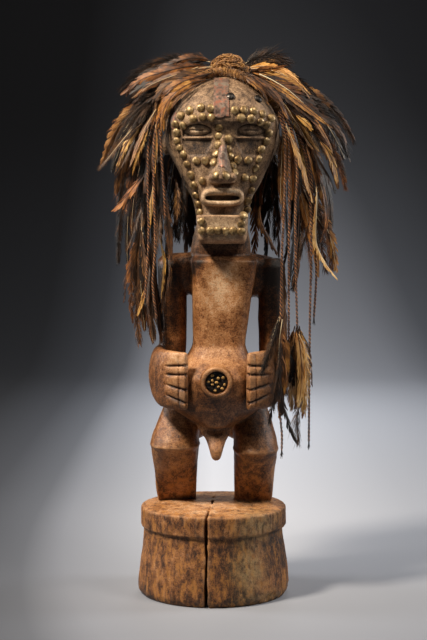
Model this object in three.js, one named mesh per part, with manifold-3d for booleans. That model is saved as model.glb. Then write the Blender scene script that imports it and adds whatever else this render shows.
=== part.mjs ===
// A carved wooden power figure standing on its own round base. Its face is studded with brass
// tacks and patched with copper, its navel holds a charge of resin and seeds, and its headdress
// is feathers and twisted cords tied to a knotted fibre band.
// Millimetres, +Z up. The figure faces -Y and +X is at the viewer's right. The origin is the
// centre of the base's underside. Left and right are the viewer's.

import * as THREE from 'three';
import { mergeVertices } from 'three/addons/utils/BufferGeometryUtils.js';
import Module from 'manifold-3d';

const wasm = await Module();
wasm.setup();

// Driving sizes
const gap = 0.35; // left between pieces that touch
const headAxis = 11.5; // the head leans a little to the viewer's right
const bellyAxis = 5;
const base = { height: 124, rim: 119.5, collarHeight: 31, collarRadius: 98, drumRadius: 94, footRadius: 102 };
const crack = { x: -11, width: 5, tipX: -2, tipY: -22, topWidth: 3, topDepth: 12 };
const navel = { x: 4, y: -84, z: 294, outerRadius: 20.5, holeRadius: 15, depth: 12, proud: 3 };
const mouth = { z: 534, width: 56, height: 24, front: -81, slotWidth: 44, slotHeight: 7 };
const eyes = { left: -32.6, right: 37.2, y: -67, z: 619, halfWidth: 19.5, halfHeight: 9 };
const tack = { radius: 5.5, height: 3.4, lift: 0.9, waist: 1.5, waistHeight: 1.1 };
const fingers = {
  grooves: [21, 9, -11, -28], slopes: [-0.06, -0.03, 0.22, 0.34], length: 33, width: 2.6, depth: 3, nail: 8.6,
};
const cordDiameter = 3;
const cordStep = 30;

// Finishes
function finish(color, roughness, metalness = 0) {
  return new THREE.MeshStandardMaterial({ color, roughness, metalness, flatShading: true });
}
const wood = finish('#96653f', 0.6);
const brass = finish('#8a7a44', 0.4, 0.9);
const iron = finish('#3a3532', 0.5, 0.8);
const copper = finish('#a8654c', 0.45, 0.9);
const resin = finish('#1c1512', 0.5);
const fibre = finish('#a87c3f', 0.9);
const rustFeather = finish('#9a5a26', 0.8);
const darkFeather = finish('#4b3428', 0.8);
const goldFeather = finish('#b07a2c', 0.8);
const greyFeather = finish('#6e5a50', 0.8);
const cordFibre = finish('#a5673a', 0.85);

// A fixed scatter between 0 and 1, so that every build is the same.
function scatter(index) {
  const wave = Math.sin(index * 12.9898) * 43758.5453;
  return wave - Math.floor(wave);
}

// Closed solids

// A solid from points and the triangles between them, turned so that its faces point out.
function solid(points, faces) {
  let volume = 0;
  for (let f = 0; f < faces.length; f += 3) {
    const [a, b, c] = [points[faces[f]], points[faces[f + 1]], points[faces[f + 2]]];
    volume += a.dot(new THREE.Vector3().crossVectors(b, c));
  }
  const outward = volume > 0 ? faces : [...faces].reverse();
  return new wasm.Manifold(new wasm.Mesh({
    numProp: 3,
    vertProperties: new Float32Array(points.flatMap((p) => [p.x, p.y, p.z])),
    triVerts: new Uint32Array(outward),
  }));
}

// A solid from a closed geometry of three.js.
function fromGeometry(geometry) {
  const bare = geometry.clone();
  bare.deleteAttribute('normal');
  bare.deleteAttribute('uv');
  const merged = mergeVertices(bare, 1e-4);
  const place = merged.getAttribute('position');
  const points = Array.from({ length: place.count }, (_, i) => new THREE.Vector3().fromBufferAttribute(place, i));
  const corners = Array.from(merged.index.array);
  const faces = [];
  for (let f = 0; f < corners.length; f += 3) {
    const [a, b, c] = corners.slice(f, f + 3);
    if (a !== b && b !== c && c !== a) faces.push(a, b, c);
  }
  return solid(points, faces);
}

// The skin through rings of equal count. It is closed by a fan at each end, or runs round on itself.
function skin(rings, round = false) {
  const count = rings[0].length;
  const points = rings.flat();
  const faces = [];
  const spans = round ? rings.length : rings.length - 1;
  for (let r = 0; r < spans; r++) {
    const next = (r + 1) % rings.length;
    for (let i = 0; i < count; i++) {
      const j = (i + 1) % count;
      faces.push(r * count + i, r * count + j, next * count + j);
      faces.push(r * count + i, next * count + j, next * count + i);
    }
  }
  if (!round) {
    for (const r of [0, rings.length - 1]) {
      const middle = new THREE.Vector3();
      rings[r].forEach((p) => middle.addScaledVector(p, 1 / count));
      points.push(middle);
      for (let i = 0; i < count; i++) {
        const pair = [r * count + i, r * count + ((i + 1) % count)];
        faces.push(points.length - 1, ...(r === 0 ? pair.reverse() : pair));
      }
    }
  }
  return solid(points, faces);
}

// One point of a superellipse: more than 2 is squarer than an ellipse, less is sharper.
function superellipse(turn, square) {
  const bend = (value) => Math.sign(value) * Math.abs(value) ** (2 / square);
  return [bend(Math.cos(turn)), bend(Math.sin(turn))];
}

// The level outline of a row, which has its own reach to the front, the back and each side.
function outline(row, sides, grow) {
  const middle = row.middle ?? 0;
  return Array.from({ length: sides }, (_, i) => {
    const [across, along] = superellipse(((i + 0.5) / sides) * 2 * Math.PI, row.square ?? 2.6);
    const reach = along < 0 ? middle - row.front : row.back - middle;
    const x = row.x + across * (row.half + grow);
    return new THREE.Vector3(x, middle + along * (reach + grow), row.z);
  });
}

// A form through level outlines, from its lowest row to its highest.
function loft(rows, sides, grow = 0) {
  const rings = rows.map((row) => outline(row, sides, grow));
  rings[0].forEach((p) => { p.z -= grow; });
  rings.at(-1).forEach((p) => { p.z += grow; });
  return skin(rings);
}

// A form along a level path. Each station is as high along Z and as thick across the path as it says.
function limb(stations, sides, grow = 0) {
  const rings = stations.map((here, i) => {
    const before = stations[Math.max(i - 1, 0)];
    const after = stations[Math.min(i + 1, stations.length - 1)];
    const along = new THREE.Vector3(after.x - before.x, after.y - before.y, 0).normalize();
    const out = i === 0 ? -grow : i === stations.length - 1 ? grow : 0;
    return Array.from({ length: sides }, (_, k) => {
      const [across, up] = superellipse(((k + 0.5) / sides) * 2 * Math.PI, here.square ?? 2.8);
      const aside = across * (here.thick / 2 + grow);
      return new THREE.Vector3(
        here.x + along.y * aside + along.x * out,
        here.y - along.x * aside + along.y * out,
        here.z + up * (here.high / 2 + grow),
      );
    });
  });
  return skin(rings);
}

// A ball with a radius along each axis.
function ball([x, y, z], [rx, ry, rz], sides, rings, grow = 0) {
  const geometry = new THREE.SphereGeometry(1, sides, rings);
  geometry.scale(rx + grow, ry + grow, rz + grow);
  geometry.translate(x, y, z);
  return fromGeometry(geometry);
}

// A turned solid whose axis points to the front, -Y, from the place given.
function turnedToFront(profile, sides, [x, y, z]) {
  const geometry = new THREE.LatheGeometry(profile.map(([r, h]) => new THREE.Vector2(r, h)), sides);
  geometry.rotateX(Math.PI);
  geometry.translate(x, y, z);
  return fromGeometry(geometry);
}

// A prism whose level outline is given, from one height to another.
function prism(points, low, high) {
  const shape = new THREE.Shape(points.map(([x, y]) => new THREE.Vector2(x, y)));
  const geometry = new THREE.ExtrudeGeometry(shape, { depth: high - low, bevelEnabled: false });
  geometry.translate(0, 0, low);
  return fromGeometry(geometry);
}

// An upright block between two corners.
function block([x0, y0, z0], [x1, y1, z1]) {
  const geometry = new THREE.BoxGeometry(x1 - x0, y1 - y0, z1 - z0);
  geometry.translate((x0 + x1) / 2, (y0 + y1) / 2, (z0 + z1) / 2);
  return fromGeometry(geometry);
}

const join = (pieces) => wasm.Manifold.union(pieces);
const largest = (piece) => piece.decompose().sort((a, b) => b.volume() - a.volume())[0];

// The figure's rows, each a level outline

const headRows = [
  { z: 472, half: 29, front: -34, back: 26 },
  { z: 481, half: 31.4, front: -58, back: 28 },
  { z: 511, half: 35, front: -63, back: 32 },
  { z: 533, half: 40, front: -64, back: 38 },
  { z: 550, half: 50, front: -66, back: 48 },
  { z: 570, half: 59, front: -67, back: 55 },
  { z: 590, half: 69, front: -68, back: 61 },
  { z: 603, half: 74.5, front: -67, back: 65 },
  { z: 622, half: 76, front: -70, back: 68 },
  { z: 634, half: 74.5, front: -77, back: 68 },
  { z: 649, half: 68, front: -75, back: 66 },
  { z: 665, half: 59, front: -65, back: 60 },
  { z: 680, half: 47, front: -48, back: 47 },
  { z: 690, half: 33, front: -31, back: 32 },
  { z: 696, half: 16, front: -14, back: 14 },
].map((row) => ({ ...row, x: headAxis }));

const chinRows = [
  { z: 474, half: 29, front: -74, back: -20 },
  { z: 481, half: 31.5, front: -84, back: -20 },
  { z: 511, half: 34, front: -87, back: -20 },
].map((row) => ({ ...row, x: headAxis, middle: -45, square: 7 }));

const noseRows = [
  { z: 552, half: 15, front: -90 },
  { z: 558, half: 18, front: -97 },
  { z: 570, half: 13.5, front: -92 },
  { z: 585, half: 10, front: -84 },
  { z: 600, half: 7, front: -76 },
  { z: 614, half: 6, front: -71 },
].map((row) => ({ ...row, x: headAxis, back: -40, middle: -60, square: 1.7 }));

const neckRows = [
  { z: 440, half: 38, front: -34, back: 38, x: 10 },
  { z: 466, half: 39.5, front: -38, back: 38, x: 10 },
  { z: 496, half: 34, front: -46, back: 30, x: 11 },
];

const torsoRows = [
  { z: 217, half: 12, front: -24, back: 24, x: 3, square: 2.4 },
  { z: 229, half: 20, front: -50, back: 36, x: 3.5, square: 2.4 },
  { z: 232, half: 24, front: -62, back: 40, x: 4, square: 2.4 },
  { z: 243, half: 45, front: -69, back: 45, x: 4.5, square: 2.4 },
  { z: 256, half: 60, front: -76, back: 48, x: 4, square: 2.4 },
  { z: 276, half: 61, front: -82, back: 46, x: 4, square: 2.4 },
  { z: 294, half: 60, front: -84, back: 43, x: 4, square: 2.4 },
  { z: 310, half: 52, front: -74, back: 42, x: 5, square: 2.6 },
  { z: 325, half: 40, front: -58, back: 42, x: 6.5, square: 3 },
  { z: 340, half: 35, front: -49, back: 42, x: 7.5, square: 3.4 },
  { z: 360, half: 36, front: -46, back: 40, x: 8.5, square: 3.6 },
  { z: 400, half: 39, front: -50, back: 40, x: 11, square: 3.6 },
  { z: 440, half: 42.5, front: -54, back: 41, x: 14, square: 3.6 },
  { z: 452, half: 43, front: -50, back: 40, x: 13.5, square: 3.6 },
  { z: 456, half: 40, front: -40, back: 38, x: 12, square: 3.2 },
];

const thighs = {
  left: [
    { z: 117, half: 25, front: 18, back: 68, x: -49.4 },
    { z: 160, half: 28, front: -15, back: 46, x: -51 },
    { z: 200, half: 32, front: -49, back: 20, x: -52 },
    { z: 205, half: 32, front: -50, back: 22, x: -52 },
    { z: 232, half: 29, front: -33, back: 36, x: -45.5 },
    { z: 264, half: 26, front: -12, back: 42, x: -37 },
  ],
  right: [
    { z: 117, half: 24.6, front: 4, back: 60, x: 53.7 },
    { z: 158, half: 26.5, front: -21, back: 42, x: 55 },
    { z: 194, half: 29.5, front: -50, back: 18, x: 57 },
    { z: 199, half: 29.5, front: -51, back: 20, x: 57 },
    { z: 228, half: 27, front: -35, back: 36, x: 52 },
    { z: 264, half: 25, front: -13, back: 42, x: 43 },
  ],
};

const loinRows = [
  { z: 188.5, half: 3, front: -61, back: -52, x: 3.5, middle: -57 },
  { z: 193, half: 6.2, front: -65, back: -50, x: 3.5, middle: -58 },
  { z: 201, half: 8.6, front: -64, back: -44, x: 3.5, middle: -55 },
  { z: 212, half: 12.5, front: -58, back: -34, x: 3.2, middle: -46 },
  { z: 225, half: 21, front: -51, back: -20, x: 3, middle: -38 },
  { z: 235, half: 26, front: -50, back: -8, x: 3, middle: -32 },
];

const shoulders = [
  { x: -74, y: 2, z: 436, high: 28, thick: 28 },
  { x: -66, y: 2, z: 434, high: 46, thick: 42 },
  { x: -36, y: 2, z: 432, high: 56, thick: 48 },
  { x: 10, y: 2, z: 432, high: 60, thick: 56 },
  { x: 56, y: 2, z: 429, high: 58, thick: 48 },
  { x: 86, y: 2, z: 427, high: 46, thick: 42 },
  { x: 95, y: 2, z: 428, high: 28, thick: 28 },
];

function upperArm(x, half) {
  return [
    { z: 298, half: half - 4, front: -6, back: 24, x },
    { z: 318, half: half - 1, front: -18, back: 26, x },
    { z: 345, half, front: -22, back: 24, x },
    { z: 440, half: half + 1, front: -24, back: 24, x },
    { z: 452, half: half - 5, front: -18, back: 18, x },
  ];
}

const leftForearm = [
  { x: -60, y: 30, z: 312, high: 38, thick: 26, square: 2.2 },
  { x: -70, y: 12, z: 305, high: 60, thick: 28, square: 2.1 },
  { x: -72, y: -16, z: 300, high: 72, thick: 29, square: 2.1 },
  { x: -68, y: -44, z: 297, high: 75, thick: 23, square: 2.3 },
  { x: -56, y: -66, z: 296, high: 76, thick: 16 },
  { x: -35, y: -80, z: 295, high: 75, thick: 10, square: 3.4 },
];
const mirrored = (stations) => stations.map((s) => ({ ...s, x: 2 * bellyAxis - s.x })).reverse();

// The drum of the base, its collar standing a little proud.
function baseBody(grow) {
  const { height, rim, collarHeight, collarRadius, drumRadius, footRadius } = base;
  const under = height - collarHeight;
  const profile = [
    [0, 0], [footRadius - 6, 0], [footRadius, 9], [footRadius - 2, 36],
    [drumRadius, under - 10], [drumRadius, under - 2], [collarRadius, under + 1],
    [collarRadius, rim - 4.5], [collarRadius - 3.5, rim], [60, height - 1.5], [0, height],
  ];
  const grown = profile.map(([r, h]) => new THREE.Vector2(r ? r + grow : 0, h + (h > under ? grow : 0)));
  const geometry = new THREE.LatheGeometry(grown, 22);
  geometry.rotateX(Math.PI / 2);
  return fromGeometry(geometry);
}

// The raised lips, a rounded oblong that stands out from the face.
function lips(grow) {
  const across = mouth.width / 2 + grow;
  const up = mouth.height / 2 + grow;
  const stations = [[-50, 1], [mouth.front + 4, 1], [mouth.front, 0.84]];
  const rings = stations.map(([y, size]) => Array.from({ length: 16 }, (_, i) => {
    const [c, s] = superellipse(((i + 0.5) / 16) * 2 * Math.PI, 3.4);
    const front = size < 1 ? y - grow : y;
    return new THREE.Vector3(headAxis + c * (across - up + up * size), front, mouth.z + s * up * size);
  }));
  return skin(rings);
}

// Everything that is one piece of wood, before the hollows are cut. A grown copy keeps its
// neighbours clear.
function carving(grow = 0) {
  const forms = [
    baseBody(grow),
    loft(headRows, 20, grow),
    loft(chinRows, 12, grow),
    loft(noseRows, 10, grow),
    lips(grow),
    loft(neckRows, 12, grow),
    loft(torsoRows, 14, grow),
    loft(thighs.left, 10, grow),
    loft(thighs.right, 10, grow),
    loft(loinRows, 10, grow),
    limb(shoulders, 8, grow),
    loft(upperArm(-55, 18), 10, grow),
    loft(upperArm(78, 17), 10, grow),
    limb(leftForearm, 10, grow),
    limb(mirrored(leftForearm), 10, grow),
    ball([headAxis - 74, 4, 605], [7, 15, 15], 8, 5, grow),
    ball([headAxis + 74, 4, 605], [6, 15, 15], 8, 5, grow),
    ball([-27, 32, 236], [30, 26, 32], 8, 6, grow),
    ball([34, 30, 236], [30, 26, 32], 8, 6, grow),
    turnedToFront([[0, -30], [navel.outerRadius, -30], [navel.outerRadius + grow, navel.proud - 1],
      [navel.outerRadius - 2, navel.proud + grow], [0, navel.proud + grow]], 16, [navel.x, navel.y, navel.z]),
  ];
  return join(forms);
}

// The grooves between the fingers of one hand and the line behind the nails.
function fingerGrooves(side) {
  const tips = leftForearm.at(-1);
  const knuckles = leftForearm.at(-2);
  const way = new THREE.Vector3(tips.x - knuckles.x, tips.y - knuckles.y, 0).normalize();
  const yaw = Math.atan2(way.y, way.x);
  const cuts = fingers.grooves.map((height, i) => {
    const geometry = new THREE.BoxGeometry(fingers.length + 12, 2 * fingers.depth, fingers.width);
    geometry.translate(-fingers.length / 2 + 6, 0, 0);
    geometry.rotateY(fingers.slopes[i]);
    geometry.translate(0, 0, height);
    return geometry;
  });
  const nail = new THREE.BoxGeometry(2, 2.4, tips.high - 6);
  nail.translate(-fingers.nail, 0, 0);
  cuts.push(nail);
  return cuts.map((geometry) => {
    geometry.rotateZ(yaw);
    const out = tips.thick / 2;
    geometry.translate(tips.x + way.y * out, tips.y - way.x * out, tips.z);
    if (side > 0) {
      geometry.scale(-1, 1, 1);
      geometry.translate(2 * bellyAxis, 0, 0);
    }
    return fromGeometry(geometry);
  });
}

// The hollows: the split in the base, the mouth's slot, the eyes, the navel and the hands' grooves.
function hollows() {
  const { x, width, tipX, tipY, topWidth, topDepth } = crack;
  const rim = -base.footRadius - 10;
  const split = [[x - width / 2, rim], [x + width / 2, rim], [tipX + 1, tipY], [tipX - 1, tipY]];
  const topSplit = [[tipX - topWidth / 2, tipY - 4], [tipX + topWidth / 2, tipY - 4], [5, 110], [1, 110]];
  const slot = [mouth.slotWidth / 2, mouth.slotHeight / 2];
  const cuts = [
    prism(split, -1, base.height + 4),
    prism(topSplit, base.height - topDepth, base.height + 4),
    block([headAxis - slot[0], mouth.front - 5, mouth.z - 1.3 - slot[1]],
      [headAxis + slot[0], mouth.front + 13, mouth.z - 1.3 + slot[1]]),
    turnedToFront([[0, 0], [navel.holeRadius, 0], [navel.holeRadius, 30], [0, 30]], 14,
      [navel.x, navel.y - navel.proud + navel.depth, navel.z]),
    ...fingerGrooves(-1),
    ...fingerGrooves(1),
  ];
  for (const aside of [eyes.left, eyes.right]) {
    const centre = [headAxis + aside, eyes.y - 1, eyes.z];
    cuts.push(ball(centre, [eyes.halfWidth, 5, eyes.halfHeight], 10, 6));
    cuts.push(ball([centre[0], eyes.y - 1, eyes.z - 21], [18, 6.5, 13], 8, 6));
  }
  return join(cuts);
}

function eyeballs() {
  return [eyes.left, eyes.right].map((aside) => ball([headAxis + aside, eyes.y + 3, eyes.z - 1],
    [eyes.halfWidth - 5, 7, eyes.halfHeight - 2.5], 10, 6));
}

const keepClear = carving(gap);
const figure = largest(join([carving().subtract(hollows()), ...eyeballs()]));

// The parts list, filled as the pieces are made
const powerFigure = new THREE.Group();

function add(name, piece, material) {
  const { vertProperties, triVerts } = piece.getMesh();
  const geometry = new THREE.BufferGeometry();
  geometry.setAttribute('position', new THREE.BufferAttribute(new Float32Array(vertProperties), 3));
  geometry.setIndex(Array.from(triVerts));
  geometry.computeVertexNormals();
  const mesh = new THREE.Mesh(geometry, material);
  mesh.name = name;
  powerFigure.add(mesh);
  return mesh;
}

add('figure', figure, wood);

// The charge in the navel: a plug of black resin with seeds pressed into it.
function navelCharge() {
  const top = navel.depth - 3;
  const radius = navel.holeRadius * Math.cos(Math.PI / 14) - gap;
  const place = [navel.x, navel.y - navel.proud + navel.depth - gap, navel.z];
  const plug = turnedToFront([[0, 0], [radius, 0], [radius, top - 1], [radius - 2, top], [0, top]], 14, place);
  const seeds = Array.from({ length: 8 }, (_, i) => {
    const ring = i === 0 ? 0 : radius * 0.62;
    const turn = (i / 7) * 2 * Math.PI;
    const spot = [place[0] + ring * Math.cos(turn), place[1] - top, place[2] + ring * Math.sin(turn)];
    return ball(spot, [2, 2, 2], 4, 2);
  });
  return join([plug, ...seeds]);
}
add('navel_charge', navelCharge(), resin);

// Sheet copper beaten over a carved form, as thick as it says.
const sheetCopper = { thickness: 1.2 };
function sheetOver(form, window) {
  const outer = form(gap + sheetCopper.thickness);
  return largest(outer.subtract(keepClear).intersect(window));
}
const headForm = (grow) => loft(headRows, 20, grow);
const noseForm = (grow) => loft(noseRows, 10, grow);

const copperSheets = [
  {
    name: 'forehead_copper',
    form: headForm,
    corners: [[headAxis - 11.5, -100, 640], [headAxis + 6.5, -20, 690]],
  },
  {
    name: 'nose_copper',
    form: noseForm,
    corners: [[headAxis - 4, -110, 572], [headAxis + 5, -60, 600]],
  },
  {
    name: 'temple_copper',
    form: headForm,
    corners: [[headAxis - 90, -52, 620], [headAxis - 45, -18, 646]],
  },
];
const sheets = copperSheets.map(({ name, form, corners: [low, high] }) => {
  const sheet = sheetOver(form, block(low, high));
  const mesh = add(name, sheet, copper);
  const wide = block(low.map((v) => v - gap), high.map((v) => v + gap));
  return { mesh, keepOut: form(2 * gap + sheetCopper.thickness).intersect(wide) };
});
const copperClear = join(sheets.map((sheet) => sheet.keepOut));

// Tacks. Each row gives its number and the places it passes through, each place being how far
// aside of the head's axis it is, and its height.
const tackRows = {
  jaw_tacks_left: [13, [-60, 629], [-58.8, 610], [-50.5, 591], [-40.5, 563.5], [-33.8, 537], [-27.7, 510], [-26.7, 491]],
  chin_tacks: [4, [-15, 491], [18, 490]],
  jaw_tacks_right: [13, [25, 490], [26, 506], [31.5, 524], [39.4, 557.7], [47.7, 582.6], [57.7, 609], [56, 627]],
  brow_tacks_left_upper: [4, [-53, 640], [-42.6, 645.8], [-28, 649], [-15, 648]],
  brow_tacks_left_lower: [4, [-50, 628], [-37.2, 634], [-15, 636]],
  brow_tacks_right_upper: [5, [17, 646], [40.5, 645.5], [61, 638]],
  brow_tacks_right_lower: [3, [25, 635.5], [48, 631]],
  cheek_tacks_left: [2, [-33.8, 581], [-22, 580]],
  cheek_tacks_right: [2, [20.5, 582.6], [33, 581.8]],
  nose_tacks_right: [5, [7.5, 608], [9, 586.8], [13.9, 564.3]],
  bridge_tacks: [3, [-4.7, 623.4], [-4.7, 602]],
  nostril_tack_left: [1, [-9.4, 563]],
  mouth_tack_left: [1, [-26.3, 555]],
  mouth_tack_right: [1, [28.9, 559.3]],
  forehead_tack_middle: [1, [10.2, 664]],
  forehead_tack_right: [1, [46, 661]],
};

const facing = [powerFigure.getObjectByName('figure'), ...sheets.map((sheet) => sheet.mesh)];

// What is seen on the face from straight in front, at a place.
function lookAt(aside, z) {
  const ray = new THREE.Raycaster(new THREE.Vector3(headAxis + aside, -300, z), new THREE.Vector3(0, 1, 0));
  return ray.intersectObjects(facing)[0];
}

// The spot at a place, and the way that the face looks round about it.
function spotOnFace([aside, z]) {
  const { point } = lookAt(aside, z);
  const normal = new THREE.Vector3();
  for (const [dx, dz] of [[0, 0], [3, 0], [-3, 0], [0, 3], [0, -3]]) {
    const near = lookAt(aside + dx, z + dz);
    if (near && Math.abs(near.point.y - point.y) < 8) normal.add(near.face.normal);
  }
  return { point, normal: normal.normalize() };
}

// The tacks' spots along a row, evenly spaced over the face's own surface.
function spotsAlong(count, places) {
  const finest = 40;
  const walk = Array.from({ length: finest * (places.length - 1) + 1 }, (_, i) => {
    const piece = Math.min(Math.floor(i / finest), places.length - 2);
    const share = i / finest - piece;
    const [a, b] = [places[piece], places[piece + 1]];
    const place = [a[0] + (b[0] - a[0]) * share, a[1] + (b[1] - a[1]) * share];
    return { place, point: lookAt(...place).point, far: 0 };
  });
  walk.slice(1).forEach((step, i) => { step.far = walk[i].far + step.point.distanceTo(walk[i].point); });
  const total = walk.at(-1).far;
  return Array.from({ length: count }, (_, i) => {
    const step = walk.find(({ far }) => far >= (total * i) / (count - 1) - 1e-6);
    return spotOnFace(step.place);
  });
}

// One ring of a row of tacks: a low flat-topped section across the row.
function tackSection(point, normal, along, half, height) {
  const side = new THREE.Vector3().crossVectors(normal, along).normalize();
  const outline = [[-half, 0], [-half * 0.6, height], [half * 0.6, height], [half, 0]];
  return outline.map(([a, b]) => point.clone().addScaledVector(side, a).addScaledVector(normal, tack.lift + b));
}

// A row of domed tacks that just touch, or one tack alone.
function tackRow([count, ...places]) {
  const spots = count > 1 ? spotsAlong(count, places) : [spotOnFace(places[0])];
  const { radius, height, waist, waistHeight } = tack;
  const rings = [];
  spots.forEach(({ point, normal }, i) => {
    const before = spots[Math.max(i - 1, 0)];
    const after = spots[Math.min(i + 1, spots.length - 1)];
    const along = count > 1 ? after.point.clone().sub(before.point) : new THREE.Vector3(1, 0, 0);
    along.addScaledVector(normal, -along.dot(normal)).normalize();
    const section = (step, half, high) => tackSection(point.clone().addScaledVector(along, step), normal, along, half, high);
    if (i === 0) rings.push(section(-radius, waist, waistHeight));
    else {
      const between = point.clone().lerp(before.point, 0.5);
      const lean = normal.clone().add(before.normal).normalize();
      rings.push(tackSection(between, lean, along, waist, waistHeight));
    }
    rings.push(section(-radius * 0.45, radius * 0.95, height), section(radius * 0.45, radius * 0.95, height));
    if (i === spots.length - 1) rings.push(section(radius, waist, waistHeight));
  });
  return largest(skin(rings).subtract(keepClear).subtract(copperClear));
}
for (const [name, row] of Object.entries(tackRows)) {
  add(name, tackRow(row), name.startsWith('forehead') ? iron : brass);
}

// The headdress

// A point on the head's own outline at a height. Turn 0 is the front.
function onHead(turn, z) {
  const above = Math.max(headRows.findIndex((row) => row.z >= z), 1);
  const [low, high] = [headRows[above - 1], headRows[above]];
  const share = (z - low.z) / (high.z - low.z);
  const at = (key) => low[key] + (high[key] - low[key]) * share;
  const [along, across] = superellipse(turn, 2.6);
  return new THREE.Vector3(headAxis + across * at('half'), along > 0 ? along * at('front') : -along * at('back'), z);
}

// The same, some way out from the surface.
function besideHead(turn, z, out) {
  const point = onHead(turn, z);
  const up = onHead(turn, z - 3).sub(point);
  const round = onHead(turn + 0.1, z).sub(onHead(turn - 0.1, z));
  const normal = new THREE.Vector3().crossVectors(up, round).normalize();
  if (normal.x * (point.x - headAxis) + normal.y * point.y < 0) normal.negate();
  return point.addScaledVector(normal, out);
}

// A ball of knotted fibre, uneven all over.
function knot([x, y, z], [rx, ry, rz], sides, rings, uneven, grow = 0) {
  const geometry = new THREE.SphereGeometry(1, sides, rings);
  const bare = geometry.clone();
  bare.deleteAttribute('normal');
  bare.deleteAttribute('uv');
  const merged = mergeVertices(bare, 1e-4);
  const place = merged.getAttribute('position');
  for (let i = 0; i < place.count; i++) {
    const size = 1 - uneven * scatter(i + 1);
    place.setXYZ(i, x + place.getX(i) * (rx * size + grow), y + place.getY(i) * (ry * size + grow),
      z + place.getZ(i) * (rz * size + grow));
  }
  return fromGeometry(merged);
}

const crownKnot = { place: [19.5, -12, 708], size: [20, 18, 18] };
const band = { front: 693, side: 652, back: 622, radius: 5.5, out: 6.2, stations: 20 };

// The band is a lumpy rope round the head, high over the forehead and low behind.
function bandRope(grow) {
  const middle = Array.from({ length: band.stations }, (_, i) => {
    const turn = (i / band.stations) * 2 * Math.PI;
    const lean = Math.cos(turn);
    const z = band.side + lean * (lean > 0 ? band.front - band.side : band.side - band.back);
    return besideHead(turn, z, band.out);
  });
  const rings = middle.map((point, i) => {
    const next = middle[(i + 1) % middle.length];
    const before = middle[(i + middle.length - 1) % middle.length];
    const along = next.clone().sub(before).normalize();
    const out = new THREE.Vector3(point.x - headAxis, point.y, 0).normalize();
    const up = new THREE.Vector3().crossVectors(along, out).normalize();
    const aside = new THREE.Vector3().crossVectors(up, along);
    const radius = band.radius * (0.85 + 0.3 * scatter(i + 50)) + grow;
    return Array.from({ length: 5 }, (_, k) => {
      const turn = (k / 5) * 2 * Math.PI;
      return point.clone().addScaledVector(aside, radius * Math.cos(turn)).addScaledVector(up, radius * Math.sin(turn));
    });
  });
  return skin(rings, true);
}

const taken = [{ grown: keepClear }, { grown: copperClear }];
function clearOf(piece, others) {
  return largest(others.reduce((left, other) => left.subtract(other.grown), piece));
}
function addTied(name, make, material) {
  const piece = clearOf(make(0), taken);
  add(name, piece, material);
  taken.push({ name, grown: make(gap) });
}
addTied('crown_knot', (grow) => knot(crownKnot.place, crownKnot.size, 9, 7, 0.22, grow), fibre);
addTied('head_band', bandRope, fibre);

// Twisted cords, each hanging from the band. Their points are chosen by hand.
const cords = {
  cord_left_brow: [[-70, -44, 622], [-68, -48, 590], [-65, -46, 550], [-62.7, -46, 507]],
  cord_left_long: [[-70, -26, 650], [-84, -34, 610], [-86, -42, 560], [-85, -46, 482], [-89.8, -48, 402]],
  cord_left_inner: [[-66, -38, 650], [-76, -44, 620], [-78, -48, 560], [-76.3, -50, 467], [-79.6, -50, 421], [-74.5, -50, 375]],
  cord_right_long: [[86, -34, 646], [93, -42, 610], [93, -48, 530], [90, -52, 470], [88.5, -54, 389], [88, -58, 320],
    [87.2, -60, 255], [90, -60, 222], [89.8, -60, 202]],
  cord_right_tassel: [[90, -20, 650], [106, -32, 610], [109.7, -40, 565], [107.4, -44, 512], [109, -44, 411],
    [110.5, -42, 360], [109, -42, 300], [108, -42, 262]],
  cord_right_inner: [[88, -28, 648], [97, -38, 612], [99.5, -46, 540], [98.8, -48, 461], [99.2, -48, 331]],
  cord_right_outer: [[91, -6, 648], [118, -18, 600], [128, -28, 520], [129, -32, 476], [127.6, -34, 359], [127, -34, 210]],
  cord_right_short: [[90, 2, 646], [122, -10, 596], [132, -22, 520], [134.5, -26, 468], [136.3, -26, 432], [133.5, -26, 375]],
};
function cordTube(route, grow) {
  const way = new THREE.CatmullRomCurve3(route.map((p) => new THREE.Vector3(...p)));
  const radius = cordDiameter / 2 + grow;
  const section = Array.from({ length: 8 }, (_, i) => {
    const turn = (i / 8) * 2 * Math.PI;
    return new THREE.Vector2(radius * Math.cos(turn), radius * Math.sin(turn));
  });
  const steps = Math.round(way.getLength() / cordStep);
  const geometry = new THREE.ExtrudeGeometry(new THREE.Shape(section), { steps, bevelEnabled: false, extrudePath: way });
  return fromGeometry(geometry);
}
for (const [name, route] of Object.entries(cords)) addTied(name, (grow) => cordTube(route, grow), cordFibre);

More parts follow.
